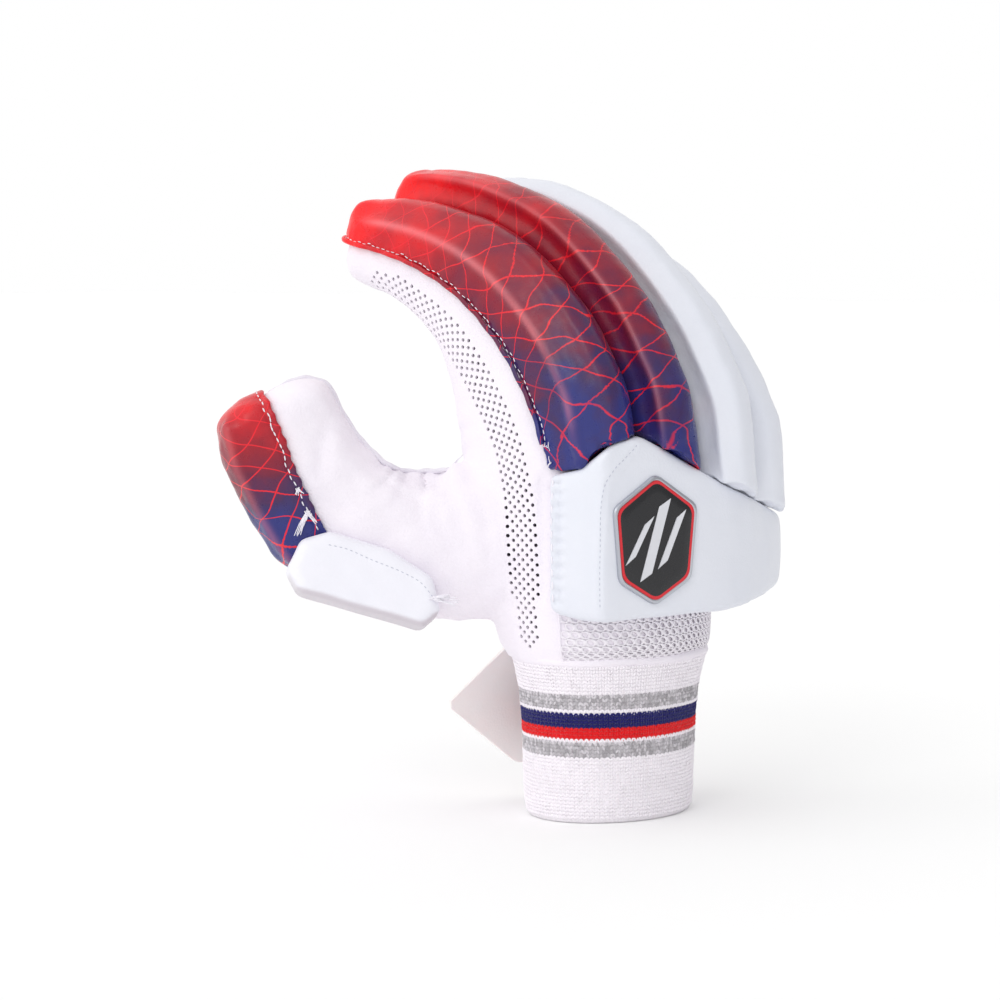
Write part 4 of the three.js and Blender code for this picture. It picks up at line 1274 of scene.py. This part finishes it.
def moulded_plastic(name, colour, roughness, metallic=0.0):
    """Moulded plastic with faint scuffs."""
    material, tree, surface = new_material(name, colour, roughness)
    scuff = noise(tree, add_node(tree, "ShaderNodeTexCoord").outputs["Object"], 260.0, 5.0)
    rough = ranged(tree, scuff, 0.0, 1.0, roughness - 0.06, roughness + 0.1)
    tree.links.new(rough, surface.inputs["Roughness"])
    roughened(tree, surface, scuff, 0.04, 0.0002)
    surface.inputs["Metallic"].default_value = metallic
    return material


silver = moulded_plastic("badge_silver", "#b9bcc4", 0.3, 0.85)
red_line = moulded_plastic("badge_red", "#d8222f", 0.35)
black_field = moulded_plastic("badge_black", "#1b1b1f", 0.25)
pale_bar = moulded_plastic("badge_pale", "#d9dae0", 0.4)
base_layer = badge_layer("badge_rim", [(0, -2.6), (0, 1.6), (0.4, 2.2), (1.1, 2.4), (1.6, 2.0)], silver)
dressed(base_layer, "badge", "wrist_badge")
dressed(badge_layer("badge_red_line", [(1.55, 1.0), (1.6, 2.15), (2.0, 2.2), (3.0, 2.15)], red_line), "badge")
dressed(badge_layer("badge_field", [(2.7, 1.0), (2.75, 2.2), (3.1, 2.35), (6.0, 2.42)], black_field), "badge")
bars = []
for centre, half_height, half_width in BARS:
    flat = np.array([
        (centre - half_width - BAR_LEAN, -half_height), (centre + half_width - BAR_LEAN, -half_height + 3),
        (centre + half_width + BAR_LEAN, half_height), (centre - half_width + BAR_LEAN, half_height - 3),
    ])
    middle = flat.mean(0)
    steps = ((1, 1.6), (1, 2.6), (0.93, 2.85))
    bars.append(loft([on_badge(middle + (flat - middle) * share, height) for share, height in steps]))
bar_piece = solid("badge_bars", *bars, material=pale_bar)
dressed(bar_piece, "badge")

# Cuff: a thick tube of ribbed knit, sewn to the leather hand at its top and turned in at its hem, with
# grey, blue and red bands knitted in.
CUFF_ROWS = [
    (0, 0.93), (0.03, 0.965), (0.1, 0.985), (0.33, 1), (0.62, 1.015), (0.8, 1.05), (0.92, 1.1), (1, 1.14),
]
CUFF_WIDTH, CUFF_DEPTH, CUFF_WALL = 77, 61, 4.5
CUFF_SIDES = 240
CUFF_HEM = 0.035
UNDER_LOOPS = 0.35
RIB_PITCH, ROW_PITCH = 1.34, 0.9
# heights from the hem at which each band of yarn begins, up to the ramp's end
BAND_STOPS = [
    (0, "#fbf6fc"), (25.6, "#c3bfc4"), (31.0, "#fbf6fc"), (32.4, "#e6161d"), (37.2, "#1d1b66"),
    (42.4, "#fbf6fc"), (44.4, "#c3bfc4"), (49.8, "#fbf6fc"),
]
GREY_BANDS = (1, 6)
BANDS_END = 64


def cuff_points(height, turn, inset):
    """Points of the cuff's side at shares of its height and turns round it."""
    heights, girths = np.asarray(CUFF_ROWS, float).T
    girth = np.interp(height, heights, girths)
    rib = 0.22 * np.sin(turn * 3 + height * 5) + 0.16 * np.sin(turn * 7 - height * 9)
    rib = rib * smooth_step(height, 0.02, 0.3)
    across = (CUFF_WIDTH / 2 * girth - inset + rib) * np.cos(turn)
    out = (CUFF_DEPTH / 2 * girth - inset + rib) * np.sin(turn)
    return np.stack([out, across, height * CUFF_HEIGHT], axis=1)


def cuff_line(height, inset):
    """A level ring of the cuff."""
    turn = np.linspace(0, 2 * math.pi, CUFF_SIDES, endpoint=False)
    return cuff_points(np.full(CUFF_SIDES, float(height)), turn, inset)


rings = [cuff_line(h, UNDER_LOOPS) for h in np.linspace(CUFF_HEM, 1, 52)]
for turn in np.linspace(0, math.pi, 9)[1:-1]:
    low_ring = cuff_line(CUFF_HEM, UNDER_LOOPS + CUFF_WALL * 0.42 * (1 - math.cos(turn)))
    rings.insert(0, low_ring - UP * (CUFF_HEM * CUFF_HEIGHT * math.sin(turn)))
rings = rings + [cuff_line(1, 1.5)] + [cuff_line(h, CUFF_WALL) for h in np.linspace(1, 0.05, 16)]
cuff = solid("cuff_knit", loft(rings, looped=True))
spots = points_of(cuff)
turn = np.arctan2(spots[:, 0] / CUFF_DEPTH, spots[:, 1] / CUFF_WIDTH)
girth_mm = math.pi * (CUFF_WIDTH + CUFF_DEPTH) / 2
layer = cuff.data.uv_layers.new(name="wrap")
loops = np.empty(len(cuff.data.loops), int)
cuff.data.loops.foreach_get("vertex_index", loops)
# a face that crosses the start of the turn takes its far side from the next turn
around = (turn / (2 * math.pi) * girth_mm)[loops].reshape(-1, 4)
around = np.where(around.max(1, keepdims=True) - around > girth_mm / 2, around + girth_mm, around)
layer.data.foreach_set("uv", np.stack([around.ravel(), spots[:, 2][loops]], axis=1).ravel())

knit, knit_tree, knit_surface = new_material("ribbed_knit", "#fbf6fc", 0.95)
around_node, height_node = mapped(knit_tree, "wrap")
zig = math_node(knit_tree, "PINGPONG", math_node(knit_tree, "DIVIDE", around_node, RIB_PITCH), 0.5)
level = math_node(knit_tree, "ADD", height_node, math_node(knit_tree, "MULTIPLY", zig, 1.5))
band_share = math_node(knit_tree, "DIVIDE", level, float(BANDS_END))
bands = add_node(knit_tree, "ShaderNodeValToRGB", {"Fac": band_share})
bands.color_ramp.interpolation = "CONSTANT"
set_stops(bands.color_ramp, BAND_STOPS, BANDS_END)
fleck = noise(knit_tree, add_node(knit_tree, "ShaderNodeTexCoord").outputs["Object"], 1500.0, 2.0)
heather = add_node(knit_tree, "ShaderNodeVectorMath", {0: bands.outputs["Color"]}, operation="SCALE")
knit_tree.links.new(ranged(knit_tree, fleck, 0.35, 0.65, 0.93, 1.02), heather.inputs["Scale"])
knit_tree.links.new(heather.outputs[0], knit_surface.inputs["Base Color"])
row_wave = math_node(knit_tree, "SINE", math_node(knit_tree, "MULTIPLY", level, 2 * math.pi / ROW_PITCH))
stitch_height = math_node(knit_tree, "ADD", math_node(knit_tree, "MULTIPLY", zig, 3.0), row_wave)
roughened(knit_tree, knit_surface, math_node(knit_tree, "ADD", stitch_height, fleck), 0.5, 0.00024)
knit_surface.inputs["Sheen Weight"].default_value = 0.25
knit_surface.inputs["Specular IOR Level"].default_value = 0.2
cuff.data.materials.append(knit)
cuff.data.shade_smooth()
dressed(cuff, "knit", "cuff")

# The knit's own loops: columns of small V-shaped stitches over the tube, each of two leaning legs. Every leg
# has its band's colour, and the grey ones are marled. A node group lays them on marked points.
KNIT_COLUMNS, KNIT_LEVELS = 104, 42
KNIT_START, KNIT_REACH = 1.7, 59.6
LOOP_INSET = 0.3
LEG_THICKNESS, LEG_DEPTH, LEG_LENGTH = 0.5, 0.34, 1.02
LEG_ASIDE, LEG_TILT = 0.52, 0.5


def yarn_finish(name, colour, roughness, fibres, strength, distance, sheen):
    """Matt yarn with fine fibres and a soft sheen."""
    material, tree, surface = new_material(name, colour, roughness)
    fibre = noise(tree, add_node(tree, "ShaderNodeTexCoord").outputs["Object"], fibres, 3.0)
    roughened(tree, surface, fibre, strength, distance)
    surface.inputs["Sheen Weight"].default_value = sheen
    return material, tree, surface


loop_dice = np.random.default_rng(8)
loop_grid = np.meshgrid(np.arange(KNIT_COLUMNS), np.arange(KNIT_LEVELS))
column_number, level_number = (numbers.ravel() for numbers in loop_grid)
loop_turn = 2 * math.pi * (column_number + 0.5) / KNIT_COLUMNS
loop_height = (KNIT_START + KNIT_REACH * (level_number + 0.5) / KNIT_LEVELS) / CUFF_HEIGHT
loop_middle = cuff_points(loop_height, loop_turn, LOOP_INSET)
loop_across = unit(cuff_points(loop_height, loop_turn + 0.01, LOOP_INSET) - loop_middle)
loop_up = unit(cuff_points(loop_height + 0.01, loop_turn, LOOP_INSET) - loop_middle)
loop_out = np.cross(loop_up, loop_across)
loop_out *= np.sign((loop_out * loop_middle * [1, 1, 0]).sum(1))[:, None]
loop_finish, loop_tree, loop_surface = yarn_finish("knit_loops", "#fbf6fc", 0.95, 2600.0, 0.35, 0.0002, 0.25)
yarn_node = add_node(loop_tree, "ShaderNodeVertexColor", layer_name="yarn")
loop_tree.links.new(yarn_node.outputs["Color"], loop_surface.inputs["Base Color"])
loop_surface.inputs["Specular IOR Level"].default_value = 0.15
loop_group, given, result = node_group("knit_loops", {
    "Places": "Geometry", "Thickness": "Float", "Depth": "Float", "Length": "Float", "Finish": "Material",
}, "Loops")
leaning = turned_to(loop_group, "Z", direction_node(loop_group, "axis"))
facing = turned_to(loop_group, "Y", direction_node(loop_group, "face"), pivot_axis="Z")
loop_group.links.new(leaning.outputs[0], facing.inputs["Rotation"])
yarn_size = add_node(loop_group, "ShaderNodeCombineXYZ", {
    "X": given.outputs["Thickness"], "Y": given.outputs["Depth"], "Z": given.outputs["Length"]})
# a Random Value node's float sockets share their names with others, so they are taken by place
uneven = add_node(loop_group, "FunctionNodeRandomValue", {2: 0.9, 3: 1.1, "Seed": 8}, data_type="FLOAT")
varied = add_node(loop_group, "ShaderNodeVectorMath", {0: yarn_size.outputs[0]}, operation="SCALE")
loop_group.links.new(uneven.outputs[1], varied.inputs["Scale"])
leg = add_node(loop_group, "GeometryNodeMeshIcoSphere", {"Radius": 1.0, "Subdivisions": 1})
legs = add_node(loop_group, "GeometryNodeInstanceOnPoints", {
    "Points": given.outputs["Places"], "Instance": leg.outputs["Mesh"], "Rotation": facing.outputs[0],
    "Scale": varied.outputs[0]})
real_legs = add_node(loop_group, "GeometryNodeRealizeInstances", {"Geometry": legs.outputs[0]})
handed_out(loop_group, given, result, real_legs.outputs[0])

band_tints = np.array([tint(code) for _, code in BAND_STOPS])
band_starts = [start for start, _ in BAND_STOPS]
band = np.searchsorted(band_starts, loop_height * CUFF_HEIGHT + 0.1, side="right") - 1
leg_places, leg_axes, leg_tints = [], [], []
for side in (-1, 1):
    tilt = side * (LEG_TILT + 0.08 * loop_dice.normal(size=len(band)))[:, None]
    leg_axes.append(loop_up * np.cos(tilt) + loop_across * np.sin(tilt))
    proud = 0.08 * loop_dice.normal(size=len(band))[:, None]
    leg_places.append(loop_middle + loop_across * (side * LEG_ASIDE) + loop_out * proud)
    marl = np.where(
        np.isin(band, GREY_BANDS), loop_dice.choice([0.74, 0.92, 1.06, 1.3], len(band)),
        loop_dice.uniform(0.98, 1.02, len(band)))
    leg_tints.append(np.clip(band_tints[band] * marl[:, None], 0, 1))
leg_tints = np.concatenate(leg_tints)
leg_tints[:, 3] = 1
knit_loops = mesh_piece("cuff_loops", metres(np.concatenate(leg_places)), [])
store_directions(knit_loops, "axis", np.concatenate(leg_axes))
store_directions(knit_loops, "face", np.concatenate([loop_out, loop_out]))
yarn_tints = knit_loops.data.color_attributes.new("yarn", "FLOAT_COLOR", "POINT")
yarn_tints.data.foreach_set("color", leg_tints.ravel())
run_nodes(knit_loops, loop_group, {
    "Thickness": LEG_THICKNESS * MM, "Depth": LEG_DEPTH * MM, "Length": LEG_LENGTH * MM,
    "Finish": loop_finish})
knit_loops.data.shade_smooth()
dressed(knit_loops, "knit")

# Mesh back: open knitted net with slanted oval holes over a plain under-layer, from the leather's edge on
# one side of the hand to the other, under the wrist pad.
CELL_WIDTH, CELL_RISE = 3.8, 3.0
CELL_SIDES = 12
NET_WALL = 0.5
NET_ROWS, NET_COLUMNS = 41, 160
half_turn = NET_COLUMNS // 2
height, palm, back, width, square, slope = read_rows(HAND_ROWS, np.linspace(0, 1, NET_ROWS))
net_outline = []
for k in range(NET_ROWS):
    half = HAND_DEPTH * (palm[k] + back[k]) / 2 - 0.15
    middle = PALM_LEAN * height[k] + HAND_DEPTH * (back[k] - palm[k]) / 2
    line = outline(HAND_WIDTH / 2 * width[k] - 0.3, half, square[k], 0, 180, NET_COLUMNS, closed=False)
    x = middle + line[:, 1] + SECTION_SHEAR * line[:, 0] * height[k]
    level = CUFF_HEIGHT + SEAM_GAP + (PALM_HEIGHT - 2 * SEAM_GAP) * height[k]
    row = np.stack([x, line[:, 0], level - ROOT_SLOPE * slope[k] * line[:, 0]], axis=1)
    run = run_of(row)
    start = np.interp(SEAM_BACK, x[:half_turn], run[:half_turn])
    stop = np.interp(-SEAM_BACK, -x[half_turn:], run[half_turn:])
    even = np.linspace(start, stop, NET_COLUMNS)
    net_outline.append(np.stack([np.interp(even, run, row[:, i]) for i in range(3)], axis=1))
net_outline = np.array(net_outline)


def net_point(u, v):
    """A point of the mesh back from 0 to 1 across it and 0 to 1 up it."""
    a, b = np.clip(u, 0, 1) * (NET_COLUMNS - 1), np.clip(v, 0, 1) * (NET_ROWS - 1)
    i, j = np.minimum(a.astype(int), NET_COLUMNS - 2), np.minimum(b.astype(int), NET_ROWS - 2)
    s, t = (a - i)[:, None], (b - j)[:, None]
    low_edge = net_outline[j, i] * (1 - s) + net_outline[j, i + 1] * s
    high_edge = net_outline[j + 1, i] * (1 - s) + net_outline[j + 1, i + 1] * s
    return low_edge * (1 - t) + high_edge * t


net_width = np.linalg.norm(np.diff(net_outline[12], axis=0), axis=1).sum()
columns, levels = int(net_width / CELL_WIDTH), int((PALM_HEIGHT - 1) / CELL_RISE)
square_turn = np.linspace(0, 2 * math.pi, CELL_SIDES, endpoint=False)
cell_rim = np.stack([np.cos(square_turn), np.sin(square_turn)], axis=1)
cell_rim = cell_rim / np.abs(cell_rim).max(1, keepdims=True) / 2
oval = np.stack([0.27 * np.cos(square_turn), 0.33 * np.sin(square_turn)], axis=1)
oval = oval + np.stack([0.35 * oval[:, 1], 0 * oval[:, 1]], axis=1)
net_flat, net_faces = [], []
for level_index in range(levels):
    for cell in range(columns):
        stagger = 0.5 if level_index % 2 else 0
        if cell + stagger > columns - 0.6:
            continue
        centre = np.array([cell + 0.5 + stagger, level_index + 0.5])
        start = len(net_flat)
        net_flat += list(centre + cell_rim) + list(centre + oval)
        for k in range(CELL_SIDES):
            after = (k + 1) % CELL_SIDES
            net_faces.append((start + k, start + after, start + CELL_SIDES + after, start + CELL_SIDES + k))
net_flat = np.array(net_flat)
net = mesh_piece("mesh_net", metres(net_point(net_flat[:, 0] / columns, net_flat[:, 1] / levels)), net_faces)
welded = bmesh.new()
welded.from_mesh(net.data)
bmesh.ops.remove_doubles(welded, verts=welded.verts, dist=0.02 * MM)
welded.to_mesh(net.data)
welded.free()
hand_middle = Vector(metres([0, 0, 100]))
if sum((p.center - hand_middle).dot(p.normal) for p in net.data.polygons) < 0:
    net.data.flip_normals()
net_wall = net.modifiers.new("wall", "SOLIDIFY")
net_wall.thickness = NET_WALL * MM
net_wall.offset = 0
settled(net)
covered(net, yarn_finish("net_yarn", "#f4eff6", 0.85, 1300.0, 0.6, 0.0003, 0.2)[0])
dressed(net, "mesh_fabric", "back_mesh")

# Binding: a rolled strip of the soft leather round the top of the cuff and a narrow one up each side of the
# mesh back, where the mesh, the palm leather and the cuff are sewn together.
fold = cuff_line(1, 1.35) + UP * (0.5 + 0.2 * np.sin(np.linspace(0, 40, CUFF_SIDES)))[:, None]
side_lines = [net_outline[:, 0], net_outline[:, -1]]
binding = solid(
    "binding", tube_mesh(np.vstack([fold, fold[:1]]), 1.75, 12),
    *[tube_mesh(line[1:-1], 0.6, 8) for line in side_lines], material=soft_leather,
)
binding.data.shade_smooth()
dressed(binding, "white_leather")

# Loose thread ends: a knot with frayed tails where the thumb guard's seam ends, a tie at the plate's inner
# end, and a few frayed ends at the lower end of the index roll's seam.


def frayed(tree, x, y, bunches, seed, thickness):
    """Curled threads from a place in the picture, in bunches that lie on what they hang from."""
    dice = np.random.default_rng(seed)
    spot, normal = under_pixel(tree, x, y)
    if spot is None:
        return []
    base = millimetres(spot + normal * 0.0007)
    right, up = np.array(view_right), np.array(view_up)
    made = []
    for dx, dy, count, spread in bunches:
        for _ in range(count):
            aside, below = dice.normal(size=2) * spread
            shift = right * (dx + aside) - up * (dy + below)
            goal = base + shift * PIXEL / MM - np.array(ahead) * dice.uniform(0.1, 0.9)
            middle = base * 0.5 + goal * 0.5 + dice.normal(size=3) * 0.35
            line = through([base + dice.normal(size=3) * 0.3, middle, goal], np.linspace(0, 1, 10))
            made.append(tube_mesh(line, thickness * np.linspace(1, 0.55, 10), 6))
    return made


# bunches: move right and down in the picture, threads, and their spread
GUARD_KNOT = [(-10, 22, 6, 1.0), (-5, 13, 4, 1.2), (8, 9, 5, 1.2), (0, 0, 7, 1.8), (4, 4, 6, 1.4)]
GUARD_ENDS = [(-1, 4, 4, 1.6), (4, 5, 3, 1.2)]
PLATE_TIE = [(17, -1, 8, 1.8), (26, 3, 5, 2.6), (9, 2, 6, 1.8)]
HEM_ENDS = [(-2, 4, 2, 2.5), (2, -3, 1, 2.0)]
# picture place and seed of each frayed end of the index roll
HEM_PLACES = ((549, 446, 5), (552, 462, 7), (556, 470, 9), (575, 470, 12), (598, 466, 15))
loose = frayed(tip_tree, 307, 512, GUARD_KNOT, 3, 0.3)
loose += frayed(tip_tree, 298, 488, GUARD_ENDS, 6, 0.28)
loose += frayed(plate_tree, 431, 598, PLATE_TIE, 4, 0.34)
for x, y, seed in HEM_PLACES:
    loose += frayed(surface_tree(rolls["index"]), x, y, HEM_ENDS, seed, 0.2)
thread_ends = solid("loose_threads", *loose, material=thread_finish)
thread_ends.data.shade_smooth()
dressed(thread_ends, "white_leather")

# Strap: thin pale coated leather, sewn to the cuff on the little finger's side, with its pointed tab
# standing off in front of the palm side.
STRAP_WIDTH, STRAP_FREE, STRAP_WALL = 50, 58, 2
STRAP_LEVEL = CUFF_HEIGHT * 0.64
cuff_top = CUFF_ROWS[-1][1]
strap_depth = CUFF_DEPTH / 2 * cuff_top + SEAM_GAP
strap_half = CUFF_WIDTH / 2 * cuff_top + SEAM_GAP
strap_rows = []
for turn in np.radians(np.linspace(66, 30, 13)):
    point = np.array([-strap_depth * math.cos(turn), strap_half * math.sin(turn)])
    run = np.array([-strap_depth * math.sin(turn), -strap_half * math.cos(turn)])
    strap_rows.append((point, run / np.linalg.norm(run), 1.0))
leave, strap_run, _ = strap_rows[-1]
for share in np.linspace(0, 1, 30)[1:]:
    width_share = min(1, 0.06 + 0.94 * (1 - share) / 0.5)
    curl = 0.8 * math.sin(share * 3.0) * share
    out = np.array([strap_run[1], -strap_run[0]])
    strap_rows.append((leave + strap_run * STRAP_FREE * share + out * curl, strap_run, width_share))
strap_rings = []
for point, run, share in strap_rows:
    out = np.array([run[1], -run[0]])
    half = STRAP_WIDTH / 2 * share
    ring = []
    for side in np.linspace(-1, 1, 13):
        ring.append((0.15 * (1 - side ** 2), side * half))
    for side in np.linspace(1, -1, 13):
        ring.append((STRAP_WALL - 0.15 * (1 - side ** 2), side * half))
    strap_rings.append([(*(point + out * d), STRAP_LEVEL + h) for d, h in ring])
strap = solid("strap_leather", loft(strap_rings))
rounding = strap.modifiers.new("edge", "BEVEL")
rounding.width = 0.45 * MM
rounding.segments = 2
rounding.limit_method = "ANGLE"
settled(strap)
strap_finish = white_leather("strap_leather", "#fffaf8", "#fdf2f0", 0.5, 0.15)
strap_surface = strap_finish.node_tree.nodes["Principled BSDF"]
strap_surface.inputs["Subsurface Weight"].default_value = 0.25
strap_surface.inputs["Subsurface Radius"].default_value = (0.004, 0.003, 0.003)
strap.data.materials.append(strap_finish)
dressed(strap, "strap", "wrist_strap")
strap_seams = [[], [], []]
for number, (point, run, share) in enumerate(strap_rows[2:-4]):
    spot = np.append(point + np.array([run[1], -run[0]]) * (STRAP_WALL + 0.05), STRAP_LEVEL)
    reach = STRAP_WIDTH / 2 * share - 2.6
    strap_seams[0].append(spot + UP * reach)
    strap_seams[1].append(spot - UP * reach)
    if number == 0:
        strap_seams[2] = [spot + UP * h for h in np.linspace(-reach, reach, 30)]
strap_thread = stitched("strap_stitches", strap_seams, 2.6, 1.8, 0.4)
dressed(strap_thread, "strap")
